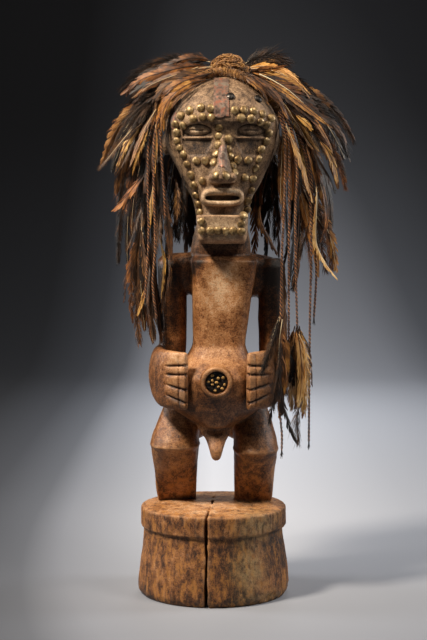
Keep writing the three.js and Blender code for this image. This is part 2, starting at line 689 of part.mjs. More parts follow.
// Fans of feathers. Each is tied at its root, bows outward over the head and hangs to its tips.
// Across is how wide it has spread at the tips, and front is how far it turns its face forward.
const fans = [
  { name: 'feathers_crown_left', root: [0, -8, 710], tip: [-118, -10, 668], feathers: 3, across: 60, bow: 20, up: 24, front: 0.5 },
  { name: 'feathers_brow_left', root: [-2, -22, 704], tip: [-78, -34, 606], feathers: 3, across: 36, bow: 24, up: 20, front: 0.5 },
  { name: 'feathers_left_high', root: [-50, 6, 694], tip: [-128, 2, 624], feathers: 3, across: 62, bow: 12, up: 16, front: 0.6 },
  { name: 'feathers_left_out', root: [-72, 12, 662], tip: [-148, 2, 566], feathers: 3, across: 60, bow: 14, up: 12, front: 0.7 },
  { name: 'feathers_left_side', root: [-76, -10, 646], tip: [-120, -8, 510], feathers: 3, across: 60, bow: 10, up: 0, front: 0.8 },
  { name: 'feathers_left_front', root: [-72, -34, 640], tip: [-84, -30, 500], feathers: 3, across: 34, bow: 4, up: 0, front: 0.6 },
  { name: 'feathers_left_back', root: [-76, 24, 636], tip: [-110, 22, 440], feathers: 3, across: 62, bow: 12, up: 0, front: 0.7 },
  { name: 'feathers_left_long', root: [-78, 40, 630], tip: [-90, 44, 400], feathers: 3, across: 60, bow: 16, up: 0, front: 0.4 },
  { name: 'feathers_left_lowest', root: [-94, -24, 500], tip: [-84, -28, 335], feathers: 3, across: 40, bow: 4, up: 0, front: 0.9 },
  { name: 'feathers_behind_left', root: [-40, 74, 634], tip: [-56, 96, 440], feathers: 4, across: 84, bow: 10, up: 0, front: 0 },
  { name: 'feathers_behind', root: [11, 84, 630], tip: [11, 106, 450], feathers: 4, across: 84, bow: 10, up: 0, front: 0 },
  { name: 'feathers_behind_right', root: [62, 74, 634], tip: [78, 96, 440], feathers: 4, across: 84, bow: 10, up: 0, front: 0 },
  { name: 'feathers_crown_back', root: [12, 10, 710], tip: [12, 98, 604], feathers: 5, across: 150, bow: 26, up: 20, front: 0 },
  { name: 'feathers_crown_right', root: [40, 6, 708], tip: [100, 26, 710], feathers: 3, across: 36, bow: 0, up: 12, front: 0.5 },
  { name: 'feathers_right_high', root: [42, -12, 702], tip: [128, -8, 656], feathers: 3, across: 54, bow: 14, up: 18, front: 0.5 },
  { name: 'feathers_right_out', root: [76, -2, 676], tip: [176, -5, 582], feathers: 4, across: 70, bow: 12, up: 16, front: 0.6 },
  { name: 'feathers_right_side', root: [98, 6, 654], tip: [156, 4, 540], feathers: 3, across: 62, bow: 10, up: 6, front: 0.7 },
  { name: 'feathers_right_front', root: [95, -30, 636], tip: [102, -30, 500], feathers: 3, across: 34, bow: 4, up: 0, front: 0.6 },
  { name: 'feathers_right_hang', root: [100, 18, 636], tip: [138, 8, 470], feathers: 3, across: 60, bow: 10, up: 0, front: 0.7 },
  { name: 'feathers_right_low', root: [112, -6, 556], tip: [150, -10, 425], feathers: 3, across: 44, bow: 8, up: 0, front: 0.8 },
  { name: 'feathers_right_back', root: [102, 38, 632], tip: [106, 44, 400], feathers: 3, across: 62, bow: 14, up: 0, front: 0.4 },
  { name: 'tassel_right_long', root: [110.5, -46, 366], tip: [104, -44, 228], feathers: 3, across: 36, bow: 0, up: 0, front: 1 },
  { name: 'tassel_right_front', root: [88.3, -60, 378], tip: [76, -66, 262], feathers: 3, across: 30, bow: 0, up: 0, front: 1 },
  { name: 'tassel_right_inner', root: [99, -52, 330], tip: [95, -54, 276], feathers: 2, across: 20, bow: 0, up: 0, front: 1 },
];
const fanSpread = [[0, 0.16], [0.34, 0.7], [0.68, 0.96], [1, 1]]; // the share of the length, and of the width
const fanSheet = { thickness: 2.2, ridge: 3, wrap: 150, valley: 0.78 };

// A pleated leaf with a ridge for each feather, ending in a point for each.
function feathers(spec, seed, grow) {
  const [root, tip] = [new THREE.Vector3(...spec.root), new THREE.Vector3(...spec.tip)];
  const aside = new THREE.Vector3((root.x + tip.x) / 2 - headAxis, (root.y + tip.y) / 2, 0).normalize();
  const over = root.clone().lerp(tip, 0.4).addScaledVector(aside, spec.bow * 2);
  over.z += spec.up * 2;
  const way = new THREE.QuadraticBezierCurve3(root, over, tip);
  const columns = 2 * spec.feathers + 1;
  const faces = { top: [], bottom: [] };
  fanSpread.forEach(([share, spread], row) => {
    for (let c = 0; c < columns; c++) {
      const ridge = c % 2;
      const pointed = ridge ? 1 - 0.14 * scatter(seed * 7 + c) : fanSheet.valley;
      const reach = row === fanSpread.length - 1 ? pointed : share * (ridge ? 1 : 0.97);
      const middle = way.getPoint(reach);
      const along = way.getTangent(reach);
      const facing = new THREE.Vector3(middle.x - headAxis, middle.y, (middle.z - 600) / 2).normalize();
      facing.lerp(new THREE.Vector3(0, -1, 0), spec.front).normalize();
      const side = new THREE.Vector3().crossVectors(along, facing).normalize();
      const face = new THREE.Vector3().crossVectors(side, along).normalize();
      const edge = c === 0 ? -grow : c === columns - 1 ? grow : 0;
      const end = row === 0 ? -grow : row === fanSpread.length - 1 ? grow * (ridge ? 3 : 1) : 0;
      const across = (c / (columns - 1) - 0.5) * spec.across * spread;
      const lift = ridge * fanSheet.ridge * spread - (across * across) / fanSheet.wrap;
      const spot = middle.addScaledVector(side, across + edge).addScaledVector(along, end).addScaledVector(face, lift);
      const half = (fanSheet.thickness * (row === fanSpread.length - 1 ? 0.5 : 1)) / 2 + grow;
      faces.top.push(spot.clone().addScaledVector(face, half));
      faces.bottom.push(spot.clone().addScaledVector(face, -half));
    }
  });
  return leaf(faces.top, faces.bottom, columns);
}

// A closed sheet between an upper and a lower grid of points with the same number of columns.
function leaf(top, bottom, columns) {
  const under = top.length;
  const rows = under / columns;
  const corners = [];
  const quad = (a, b, c, d) => corners.push(a, b, c, a, c, d);
  for (let r = 0; r < rows - 1; r++) {
    for (let c = 0; c < columns - 1; c++) {
      const [a, b, d, e] = [r * columns + c, r * columns + c + 1, (r + 1) * columns + c + 1, (r + 1) * columns + c];
      quad(a, b, d, e);
      quad(under + e, under + d, under + b, under + a);
    }
  }
  const rim = [];
  for (let c = 0; c < columns - 1; c++) rim.push(c);
  for (let r = 0; r < rows - 1; r++) rim.push(r * columns + columns - 1);
  for (let c = columns - 1; c > 0; c--) rim.push((rows - 1) * columns + c);
  for (let r = rows - 1; r > 0; r--) rim.push(r * columns);
  rim.forEach((a, i) => {
    const b = rim[(i + 1) % rim.length];
    quad(b, a, under + a, under + b);
  });
  return solid([...top, ...bottom], corners);
}

const plumage = [rustFeather, goldFeather, darkFeather, rustFeather, greyFeather];
fans.forEach((spec, i) => addTied(spec.name, (grow) => feathers(spec, i + 1, grow), plumage[i % plumage.length]));

export default powerFigure;
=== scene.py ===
# A carved wooden power figure on its round base, with brass tacks, beaten copper, a resin charge
# in the navel and a headdress of feathers and twisted cords.
# Shapes are worked out in millimetres and become metres as they go into a mesh. Left and right are
# the viewer's, the figure faces -Y and +Z is up.

import itertools
import math

import bpy
import numpy as np
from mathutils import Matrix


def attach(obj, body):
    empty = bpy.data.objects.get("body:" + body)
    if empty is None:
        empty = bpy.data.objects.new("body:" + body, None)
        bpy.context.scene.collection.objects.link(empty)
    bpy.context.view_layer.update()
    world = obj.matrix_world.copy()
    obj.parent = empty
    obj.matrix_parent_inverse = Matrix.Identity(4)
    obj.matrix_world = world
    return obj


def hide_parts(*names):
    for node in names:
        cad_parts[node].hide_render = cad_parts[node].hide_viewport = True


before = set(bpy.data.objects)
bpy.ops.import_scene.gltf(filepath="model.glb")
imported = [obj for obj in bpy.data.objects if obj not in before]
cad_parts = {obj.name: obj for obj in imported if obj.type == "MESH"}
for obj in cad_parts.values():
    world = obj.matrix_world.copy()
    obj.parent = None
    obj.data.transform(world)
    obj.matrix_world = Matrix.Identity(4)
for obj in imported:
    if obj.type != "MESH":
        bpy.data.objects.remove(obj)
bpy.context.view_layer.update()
print("frame loaded:", len(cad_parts), "solids")

random = np.random.default_rng(41)
headAxis = 11.5  # the head leans a little to the right
bellyAxis = 5.0


# Small tools for shapes

# Vectors scaled to a length of one.
def unit(vectors):
    return vectors / np.maximum(np.linalg.norm(vectors, axis=-1, keepdims=True), 1e-9)


# Angles evenly spaced round a full circle, moved on by a share of one step.
def turns(sides, shift=0.0):
    return (np.arange(sides) + shift) / sides * 2 * math.pi


# A bump from 0 to 1 as value goes from low to high: three times the square less twice the cube.
def fade(value, low, high):
    share = np.clip((value - low) / (high - low), 0.0, 1.0)
    return share * share * (3 - 2 * share)


# Uneven lumps from -1 to 1: a random number at each corner of a lattice with cells of the given
# size, blended inside the cell by the fade curve along x, y and z.
def lumps(points, size, seed=0):
    cells = points / size + seed * 17.31
    corner = np.floor(cells).astype(np.int64)
    share = cells - corner
    share = share * share * (3 - 2 * share)
    total = np.zeros(points.shape[:-1])
    for step in itertools.product((0, 1), repeat=3):
        place = corner + np.array(step)
        mixed = (place[..., 0] * 73856093) ^ (place[..., 1] * 19349663) ^ (place[..., 2] * 83492791)
        mixed = (mixed ^ (mixed >> 13)) * 1274126177
        value = ((mixed ^ (mixed >> 16)) & 65535) / 32767.5 - 1
        total += value * np.prod(np.where(step, share, 1 - share), axis=-1)
    return total


# A smooth curve through values that never swings past them. The slope at each value is the harmonic
# mean of the slopes on both sides, or nought at a turning point, and between two values runs a cubic.
def smoothThrough(places, values, at):
    span = np.diff(places)[:, None]
    rise = np.diff(values, axis=0) / span
    product = rise[:-1] * rise[1:]
    safe = np.where(product > 0, rise[:-1] + rise[1:], 1.0)
    inner = np.where(product > 0, 2 * product / safe, 0.0)
    slope = np.vstack([rise[:1], inner, rise[-1:]])
    piece = np.clip(np.searchsorted(places, at, side="right") - 1, 0, len(places) - 2)
    width = span[piece]
    share = ((at - places[piece]) / width[:, 0])[:, None]
    square, cube = share**2, share**3
    return (
        (2 * cube - 3 * square + 1) * values[piece]
        + (cube - 2 * square + share) * width * slope[piece]
        + (3 * square - 2 * cube) * values[piece + 1]
        + (cube - square) * width * slope[piece + 1]
    )


# A rounded oblong as x and z from -1 to 1 at each turn: cosine and sine to the power 2/square.
def superellipse(turn, square):
    c, s = np.cos(turn), np.sin(turn)
    return np.sign(c) * np.abs(c) ** (2 / square), np.sign(s) * np.abs(s) ** (2 / square)


# A closed shell through rings of equal count, with a fan onto the middle of each end ring. It is
# turned inside out if the volume under its faces comes out negative.
def closedSkin(rings):
    count, sides = rings.shape[:2]
    points = np.concatenate([rings.reshape(-1, 3), rings[0].mean(0)[None], rings[-1].mean(0)[None]])
    ring, side = np.meshgrid(np.arange(count - 1), np.arange(sides), indexing="ij")
    after = (side + 1) % sides
    quads = np.stack([ring * sides + side, ring * sides + after, (ring + 1) * sides + after,
                      (ring + 1) * sides + side], -1).reshape(-1, 4)
    edge, nextEdge = np.arange(sides), (np.arange(sides) + 1) % sides
    last = (count - 1) * sides
    ends = np.concatenate([
        np.stack([nextEdge, edge, np.full(sides, count * sides)], -1),
        np.stack([last + edge, last + nextEdge, np.full(sides, count * sides + 1)], -1),
    ])
    a, b, c, d = (points[quads[:, k]] for k in range(4))
    if (np.cross(b - a, c - a) * a).sum() + (np.cross(c - a, d - a) * a).sum() < 0:
        quads, ends = quads[:, ::-1], ends[:, ::-1]
    return points, [quads, ends]


# Several shells as one set of points and faces.
def together(shells):
    points, faces, before = [], [], 0
    for shellPoints, shellFaces in shells:
        points.append(shellPoints)
        faces += [face + before for face in shellFaces]
        before += len(shellPoints)
    return np.concatenate(points), faces


# A mesh object from points in millimetres and arrays of faces with three or four corners.
def newPiece(name, points, faces, material=None, values=None):
    mesh = bpy.data.meshes.new(name)
    corners = np.concatenate([face.ravel() for face in faces]).astype(np.int32)
    sizes = np.concatenate([np.full(len(face), face.shape[1]) for face in faces])
    mesh.vertices.add(len(points))
    mesh.vertices.foreach_set("co", (points * 0.001).astype(np.float32).ravel())
    mesh.loops.add(len(corners))
    mesh.loops.foreach_set("vertex_index", corners)
    mesh.polygons.add(len(sizes))
    mesh.polygons.foreach_set("loop_start", (np.cumsum(sizes) - sizes).astype(np.int32))
    mesh.update(calc_edges=True)
    mesh.validate()
    mesh.shade_smooth()
    for key, numbers in (values or {}).items():
        mesh.attributes.new(key, "FLOAT", "POINT").data.foreach_set("value", numbers.astype(np.float32))
    piece = bpy.data.objects.new(name, mesh)
    bpy.context.scene.collection.objects.link(piece)
    if material:
        mesh.materials.append(material)
    return piece


# Puts what a piece's modifiers make into its own mesh.
def settle(piece):
    graph = bpy.context.evaluated_depsgraph_get()
    made = bpy.data.meshes.new_from_object(piece.evaluated_get(graph))
    piece.modifiers.clear()
    piece.data = made
    return piece


# A finished piece rides on the figure's one body and stands for its solids.
def dress(piece, slot, *nodes):
    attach(piece, "root")
    if nodes:
        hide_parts(*nodes)


# Small tools for materials

# The linear colour of an sRGB hex value: each channel with the sRGB curve undone.
def linearColour(hexValue):
    channels = [int(hexValue[i:i + 2], 16) / 255 for i in (1, 3, 5)]
    return [c / 12.92 if c <= 0.04045 else ((c + 0.055) / 1.055) ** 2.4 for c in channels] + [1.0]


# Gives each socket a number, a colour or a link.
def setSockets(tree, node, sockets):
    for key, value in sockets.items():
        if isinstance(value, bpy.types.NodeSocket):
            tree.links.new(value, node.inputs[key])
        else:
            node.inputs[key].default_value = linearColour(value) if isinstance(value, str) else value


# Adds a node with its sockets, the stops of its ramp as places and hex colours, and its settings, and
# gives back one of its outputs.
def addNode(tree, kind, sockets=None, stops=(), out=0, **settings):
    node = tree.nodes.new("ShaderNode" + kind)
    for key, value in settings.items():
        setattr(node, key, value)
    setSockets(tree, node, sockets or {})
    for index, (place, colour) in enumerate(stops):
        ramp = node.color_ramp.elements
        stop = ramp[index] if index < 2 else ramp.new(place)
        stop.position = place
        stop.color = linearColour(colour)
    return node.outputs[out]


# A new material with its tree, its shader and its object coordinates.
def newMaterial(name):
    material = bpy.data.materials.new(name)
    material.use_nodes = True
    tree = material.node_tree
    shader = tree.nodes["Principled BSDF"]
    return material, tree, shader, addNode(tree, "TexCoord", out="Object")


# The camera stands 2.2 m off at the height of the mouth and looks 4.3 degrees down. The photograph
# is 427 by 640 and a metre at one metre covers 1640 of its pixels.
view = {"distance": 2.2, "height": 0.534, "tilt": 4.28, "focalPixels": 1640}
lens = bpy.data.cameras.new("camera")
lens.sensor_width = 36
lens.lens = view["focalPixels"] * 36 / 640
camera = bpy.data.objects.new("camera", lens)
camera.location = (0, -view["distance"], view["height"])
camera.rotation_euler = (math.radians(90 - view["tilt"]), 0, 0)
bpy.context.scene.collection.objects.link(camera)
bpy.context.scene.camera = camera


# The twisted cords. Each hangs from the band through the points given.
cords = {
    "cord_left_brow": [[-70, -44, 622], [-68, -48, 590], [-65, -46, 550], [-62.7, -46, 507]],
    "cord_left_long": [[-70, -26, 650], [-84, -34, 610], [-86, -42, 560], [-85, -46, 482], [-89.8, -48, 402]],
    "cord_left_inner": [[-66, -38, 650], [-76, -44, 620], [-78, -48, 560], [-76.3, -50, 467],
                        [-79.6, -50, 421], [-74.5, -50, 375]],
    "cord_right_long": [[86, -34, 646], [93, -42, 610], [93, -48, 530], [90, -52, 470], [88.5, -54, 389],
                        [88, -58, 320], [87.2, -60, 255], [90, -60, 222], [89.8, -60, 202]],
    "cord_right_tassel": [[90, -20, 650], [106, -32, 610], [109.7, -40, 565], [107.4, -44, 512],
                          [109, -44, 411], [110.5, -42, 360], [109, -42, 300], [108, -42, 262]],
    "cord_right_inner": [[88, -28, 648], [97, -38, 612], [99.5, -46, 540], [98.8, -48, 461],
                         [99.2, -48, 331]],
    "cord_right_outer": [[91, -6, 648], [118, -18, 600], [128, -28, 520], [129, -32, 476],
                         [127.6, -34, 359], [127, -34, 210]],
    "cord_right_short": [[90, 2, 646], [122, -10, 596], [132, -22, 520], [134.5, -26, 468],
                         [136.3, -26, 432], [133.5, -26, 375]],
}
cordMake = {"diameter": 3.4, "turn": 10.4, "plySides": 6, "stepsPerTurn": 11, "fray": 9}


# A curve through points. Between two points runs a cubic whose slopes come from the points before
# and after, weighted by the square roots of the distances, and past each end the first step repeats.
def curveThrough(points, perSpan):
    points = np.array(points, float)
    points = np.vstack([2 * points[0] - points[1], points, 2 * points[-1] - points[-2]])
    p0, p1, p2, p3 = points[:-3], points[1:-2], points[2:-1], points[3:]
    d0, d1, d2 = (np.sqrt(np.linalg.norm(b - a, axis=1))[:, None] for a, b in ((p0, p1), (p1, p2), (p2, p3)))
    slope1 = ((p1 - p0) / d0 - (p2 - p0) / (d0 + d1) + (p2 - p1) / d1) * d1
    slope2 = ((p2 - p1) / d1 - (p3 - p1) / (d1 + d2) + (p3 - p2) / d2) * d1
    t = (np.arange(perSpan) / perSpan)[None, :, None]
    p1, p2, slope1, slope2 = (v[:, None, :] for v in (p1, p2, slope1, slope2))
    curve = ((2 * t**3 - 3 * t**2 + 1) * p1 + (t**3 - 2 * t**2 + t) * slope1
             + (3 * t**2 - 2 * t**3) * p2 + (t**3 - t**2) * slope2)
    return np.vstack([curve.reshape(-1, 3), points[-2]])


# The same curve again at equal steps along its own length.
def evenly(curve, step):
    far = np.concatenate([[0], np.cumsum(np.linalg.norm(np.diff(curve, axis=0), axis=1))])
    at = np.linspace(0, far[-1], max(int(round(far[-1] / step)) + 1, 3))
    return np.stack([np.interp(at, far, curve[:, k]) for k in range(3)], -1), far[-1]


# Along, side and face directions at each point of a curve. The side is square to the curve and to a
# hint, and the face is square to both.
def frameAlong(curve, hint):
    along = unit(np.gradient(curve, axis=0))
    side = unit(np.cross(along, hint))
    return along, side, np.cross(side, along)


# A round tube along a curve with a radius at each point: rings of sides turned about the curve.
def tube(curve, radius, sides, hint=(0.3, 1.0, 0.2)):
    _, side, face = frameAlong(curve, np.array(hint))
    turn = turns(sides)
    around = np.cos(turn)[None, :, None] * side[:, None] + np.sin(turn)[None, :, None] * face[:, None]
    return closedSkin(curve[:, None] + around * np.broadcast_to(radius, len(curve))[:, None, None])


# Two plies wound round a path. Each ply's middle turns about the path once in every turn length,
# a quarter of the cord's diameter away from it, and loosens into single strands at the lower end.
def twistedCord(name, points):
    make = cordMake
    path, length = evenly(curveThrough(points, 24), make["turn"] / make["stepsPerTurn"])
    _, side, face = frameAlong(path, np.array([0.1, -1.0, 0.05]))
    angle = np.arange(len(path)) / make["stepsPerTurn"] * 2 * math.pi
    angle = angle + 0.5 * lumps(path, 30, 3)
    radius = make["diameter"] / 4 * (1 + 0.1 * lumps(path, 5, 4))
    shells = []
    for start in (0, math.pi):
        out = np.cos(angle + start)[:, None] * side + np.sin(angle + start)[:, None] * face
        shells.append(tube(path + out * (make["diameter"] / 4) * 1.14, radius * 0.92, make["plySides"]))
    strands = []
    for strand in range(make["fray"]):
        turn = strand / make["fray"] * 2 * math.pi
        t = np.linspace(0, 1, 6)[:, None]
        aside = math.cos(turn) * side[-1] + math.sin(turn) * face[-1]
        drop = path[-1] + np.array([0, 0, -1.0]) * (t * (7 + 6 * random.random()) - 1)
        drop = drop + aside * (0.4 + 1.4 * t**2 * (0.5 + random.random()))
        strands.append(tube(drop, np.array([0.5, 0.45, 0.4, 0.35, 0.25, 0.12]), 4))
    points, faces = together(shells)
    # How far each point stands out from the path: the cord's colour puts painted shade where the plies sink
    # towards the middle.
    middle = np.concatenate([path.repeat(make["plySides"], axis=0), path[[0, -1]]] * 2)
    off = np.linalg.norm(points - middle, axis=1) / (make["diameter"] / 2)
    rope = newPiece("twisted_" + name, points, faces, values={"proud": off})
    strandPoints, strandFaces = together(strands)
    fray = newPiece("frayed_" + name, strandPoints, strandFaces,
                    values={"proud": np.full(len(strandPoints), 0.7)})
    return rope, fray, path, length


madeCords = {name: twistedCord(name, route) for name, route in cords.items()}
for name, (piece, fray, path, length) in madeCords.items():
    dress(piece, "cord", name)
    dress(fray, "cord")
print("cords:", len(madeCords))


# The figure's rows, each a level outline: height, half width, front, back, and where it matters the
# middle along x, the middle along y and how square the outline is.
figureRows = {
    "head": [(472, 29, -34, 26), (481, 31.4, -58, 28), (511, 35, -63, 32), (533, 40, -64, 38),
             (550, 50, -66, 48), (570, 59, -67, 55), (590, 69, -68, 61), (603, 74.5, -67, 65),
             (622, 76, -70, 68), (634, 74.5, -77, 68), (649, 68, -75, 66), (665, 59, -65, 60),
             (680, 47, -48, 47), (690, 33, -31, 32), (696, 16, -14, 14)],
    "chin": [(474, 29, -74, -20), (481, 31.5, -84, -20), (511, 34, -87, -20)],
    "nose": [(552, 16.5, -89, -40), (558, 19, -96, -40), (566, 15.5, -94, -40), (585, 10, -85, -40),
             (600, 7, -76, -40), (614, 6, -71, -40)],
    "neck": [(440, 38, -34, 38, 10), (466, 39.5, -38, 38, 10), (496, 34, -46, 30, 11)],
    "torso": [(217, 12, -24, 24, 3, 0, 2.4), (229, 20, -46, 36, 3.5, 0, 2.4),
              (231.5, 22.5, -62, 40, 4, 0, 2.4),
              (233, 26, -64.5, 40.5, 4, 0, 2.4), (243, 45, -69.5, 45, 4.5, 0, 2.4),
              (256, 60, -76, 48, 4, 0, 2.4),
              (276, 61, -82, 46, 4, 0, 2.4), (294, 60, -84, 43, 4, 0, 2.4), (310, 52, -74, 42, 5, 0, 2.6),
              (325, 40, -58, 42, 6.5, 0, 3.2), (340, 35, -50, 42, 7.5, 0, 4.4), (360, 36, -49, 40, 8.5, 0, 5),
              (400, 39, -50, 40, 11, 0, 5.4), (440, 42.5, -51, 41, 14, 0, 6), (450, 43, -51.5, 40, 14, 0, 6),
              (452.5, 42, -49, 40, 13.8, 0, 5), (456, 39, -42, 38, 13, 0, 3.6)],
    "leftLeg": [(117, 25, 18, 68, -49.4), (160, 28, -15, 46, -51), (200.5, 32, -48.5, 20, -52),
                (202.5, 32.5, -50.5, 21, -52), (204.5, 32, -50, 22, -52), (232, 29, -33, 36, -45.5),
                (264, 26, -12, 42, -37)],
    "rightLeg": [(117, 24.6, 4, 60, 53.7), (158, 26.5, -21, 42, 55), (194, 29.5, -49.5, 18, 57),
                 (196, 30, -51.5, 19, 57), (198, 29.5, -51, 20, 57), (228, 27, -35, 36, 52),
                 (264, 25, -13, 42, 43)],
    "loins": [(188.5, 3, -61, -52, 3.5, -57), (189.5, 4.2, -63, -51.5, 3.5, -57),
              (193, 6.2, -65, -50, 3.5, -58),
              (201, 8.6, -64, -44, 3.5, -55), (212, 12.5, -58, -34, 3.2, -46), (225, 21, -51, -20, 3, -38),
              (235, 26, -50, -8, 3, -32)],
    "base": [(z, radius, -radius, radius, 0, 0, 2) for z, radius in (
        (0, 96), (2.5, 99), (9, 101.7), (36, 100), (83, 94), (91.2, 93.6), (92.4, 98), (117, 98),
        (118.6, 97.4),
        (119.6, 95.5), (122.4, 62), (124, 8))],
}
# Where a form's rows don't say: middle along x, middle along y, squareness.
rowDefaults = {"head": (headAxis, 0, 2.6), "chin": (headAxis, -45, 7), "nose": (headAxis, -60, 1.7),
               "neck": (10, 0, 2.6), "loins": (3, -50, 2.6)}


# A form's rows as an array of height, half, front, back, x, middle and square.
def rowsOf(form):
    usual = rowDefaults.get(form, (0, 0, 2.6))
    return np.array([list(row) + list(usual[len(row) - 4:]) for row in figureRows[form]], float)


# A form through its rows, every 1.5 mm of height: a superellipse whose reach to the front, the back
# and each side passes smoothly through the rows.
def levelForm(form, sides=120, step=1.5):
    rows = rowsOf(form)
    levels = np.linspace(rows[0, 0], rows[-1, 0], int((rows[-1, 0] - rows[0, 0]) / step) + 2)
    half, front, back, x, middle, square = smoothThrough(rows[:, 0], rows[:, 1:], levels).T[:, :, None]
    turn = turns(sides, 0.5)[None, :]
    across, along = superellipse(turn, square)
    reach = np.where(along < 0, middle - front, back - middle)
    height = np.broadcast_to(levels[:, None], across.shape)
    return closedSkin(np.stack([x + across * half, middle + along * reach, height], -1))


# How far forward a form's front stands at a place aside of its middle, from the same superellipse.
def formFront(form, aside, z):
    rows = rowsOf(form)
    shape = np.broadcast(aside, z).shape
    levels = np.clip(np.broadcast_to(z, shape).ravel(), rows[0, 0], rows[-1, 0])
    half, front, back, x, middle, square = smoothThrough(rows[:, 0], rows[:, 1:], levels).T
    across = np.abs(np.broadcast_to(aside, shape).ravel()) / half
    inside = (1 - np.clip(across, 0, 1) ** square) ** (1 / square)
    y = np.where(across < 1, middle + inside * (front - middle), 60.0)
    return y.reshape(shape)


# The face's front at a place aside of the head's axis: whichever of head, chin and nose stands out
# furthest.
def faceFront(aside, z):
    z = np.asarray(z, float)
    y = formFront("head", aside, z)
    chin = np.where((z > 474) & (z < 511), formFront("chin", aside, z), 60.0)
    nose = np.where((z > 552) & (z < 614), formFront("nose", aside, z), 60.0)
    return np.minimum(np.minimum(y, chin), nose)


# The face's normal there, from its slope across and up over 3 mm.
def faceNormal(aside, z, reach=3.0, steepest=2.5):
    slopeX = (faceFront(aside + reach, z) - faceFront(aside - reach, z)) / (2 * reach)
    slopeZ = (faceFront(aside, z + reach) - faceFront(aside, z - reach)) / (2 * reach)
    slopeX, slopeZ = (np.clip(slope, -steepest, steepest) for slope in (slopeX, slopeZ))
    return unit(np.stack([slopeX, -np.ones_like(slopeX), slopeZ], -1))


# A form along a level path: each station is an upright superellipse across the path, as high and as
# thick as it says: x, y, z, high, thick, square.
def limbForm(stations, sides=72, perSpan=14):
    stations = np.array(stations, float)
    places = np.arange(len(stations), dtype=float)
    at = np.linspace(0, len(stations) - 1, (len(stations) - 1) * perSpan + 1)
    x, y, z, high, thick, square = smoothThrough(places, stations, at).T[:, :, None]
    way = unit(np.gradient(np.stack([x[:, 0], y[:, 0]], -1), axis=0))
    turn = turns(sides, 0.5)[None, :]
    across, up = superellipse(turn, square)
    aside = across * thick / 2
    return closedSkin(np.stack([x + way[:, 1:] * aside, y - way[:, :1] * aside, z + up * high / 2], -1))


# A ball with a radius along each axis, from rings of latitude.
def ballForm(centre, radii, sides=48, rings=28):
    rise = np.linspace(-0.999, 0.999, rings)[:, None] * math.pi / 2
    turn = turns(sides)[None, :]
    way = np.stack([np.cos(rise) * np.cos(turn), np.cos(rise) * np.sin(turn),
                    np.sin(rise) * np.ones_like(turn)], -1)
    return closedSkin(np.array(centre) + way * np.array(radii))


# A form turned about an axis that points to the front: radius and distance forward of each ring.
def frontForm(centre, profile, sides=72):
    profile = np.array(profile, float)
    turn = turns(sides)[None, :]
    radius, ahead = profile[:, :1], profile[:, 1:]
    ring = np.stack([radius * np.cos(turn), -ahead + 0 * turn, radius * np.sin(turn)], -1)
    return closedSkin(np.array(centre) + ring)


arm = {"left": (-55, 18), "right": (78, 17)}
upperArmRows = [(298, -4, -6, 24), (318, -1, -18, 26), (345, 0, -22, 24), (440, 1, -24, 24),
                (452, -5, -18, 18)]
for side, (x, half) in arm.items():
    figureRows[side + "Arm"] = [(z, half + wider, front, back, x) for z, wider, front, back in upperArmRows]
shoulders = [(-74, 2, 436, 28, 28, 2.8), (-66, 2, 434, 46, 42, 2.8), (-36, 2, 432, 56, 48, 2.8),
             (10, 2, 432, 60, 56, 2.8), (56, 2, 429, 58, 48, 2.8), (86, 2, 427, 46, 42, 2.8),
             (95, 2, 428, 28, 28, 2.8)]
forearm = [(-60, 30, 312, 38, 26, 2.2), (-70, 12, 305, 60, 28, 2.1), (-72, -16, 300, 72, 29, 2.1),
           (-68, -44, 297, 75, 23, 2.3), (-56, -66, 296, 76, 16, 2.8), (-35, -80, 295, 75, 10, 3.4)]
otherForearm = [(2 * bellyAxis - x, *rest) for x, *rest in forearm[::-1]]
navel = {"place": (4, -84, 294), "depth": 12, "proud": 3,
         "rim": [(20.5, -30), (20.5, 1), (20, 2.4), (18.7, 3), (10, 3)],
         "hole": [(15.6, 20), (15.6, 2.5), (15, 1.5), (15, -9)]}
mouth = {"z": 534, "halfWidth": 28, "halfHeight": 12, "front": -81, "slotHalf": 22, "slotRise": 3.5}


# The lips: a ring of round section, 8 mm thick, carried round a rounded oblong.
def lipRing(sides=96, around=20):
    turn = turns(sides)[:, None]
    thick, deep = 4.2, 6.5
    across, up = superellipse(turn, 3.0)
    slope = np.stack([np.gradient(across[:, 0]), np.gradient(up[:, 0])], -1)
    middle = np.concatenate([across * (mouth["halfWidth"] - thick), up * (mouth["halfHeight"] - thick)], 1)
    out = middle - np.array([np.sign(middle[:, 0]) * 14, 0 * middle[:, 0]]).T * (np.abs(middle[:, :1]) > 14)
    out = np.where(np.abs(middle[:, :1]) > 14, out, np.stack([0 * middle[:, 0], middle[:, 1]], -1))
    out = unit(out)
    roundTurn = turns(around)[None, :]
    aside = np.cos(roundTurn) * thick
    x = headAxis + middle[:, :1] + out[:, :1] * aside
    z = mouth["z"] + middle[:, 1:] + out[:, 1:] * aside
    y = mouth["front"] + deep + 0 * x - np.sin(roundTurn) * deep
    rings = np.stack([x, y, z], -1)
    ring, side = np.meshgrid(np.arange(sides), np.arange(around), indexing="ij")
    nextRing, nextSide = (ring + 1) % sides, (side + 1) % around
    quads = np.stack([ring * around + side, ring * around + nextSide, nextRing * around + nextSide,
                      nextRing * around + side], -1).reshape(-1, 4)
    points = rings.reshape(-1, 3)
    a, b, c = (points[quads[:, k]] for k in range(3))
    flip = (np.cross(b - a, c - a) * (a - [headAxis, mouth["front"] + deep, mouth["z"]])).sum() < 0
    return points, [quads[:, ::-1] if flip else quads]


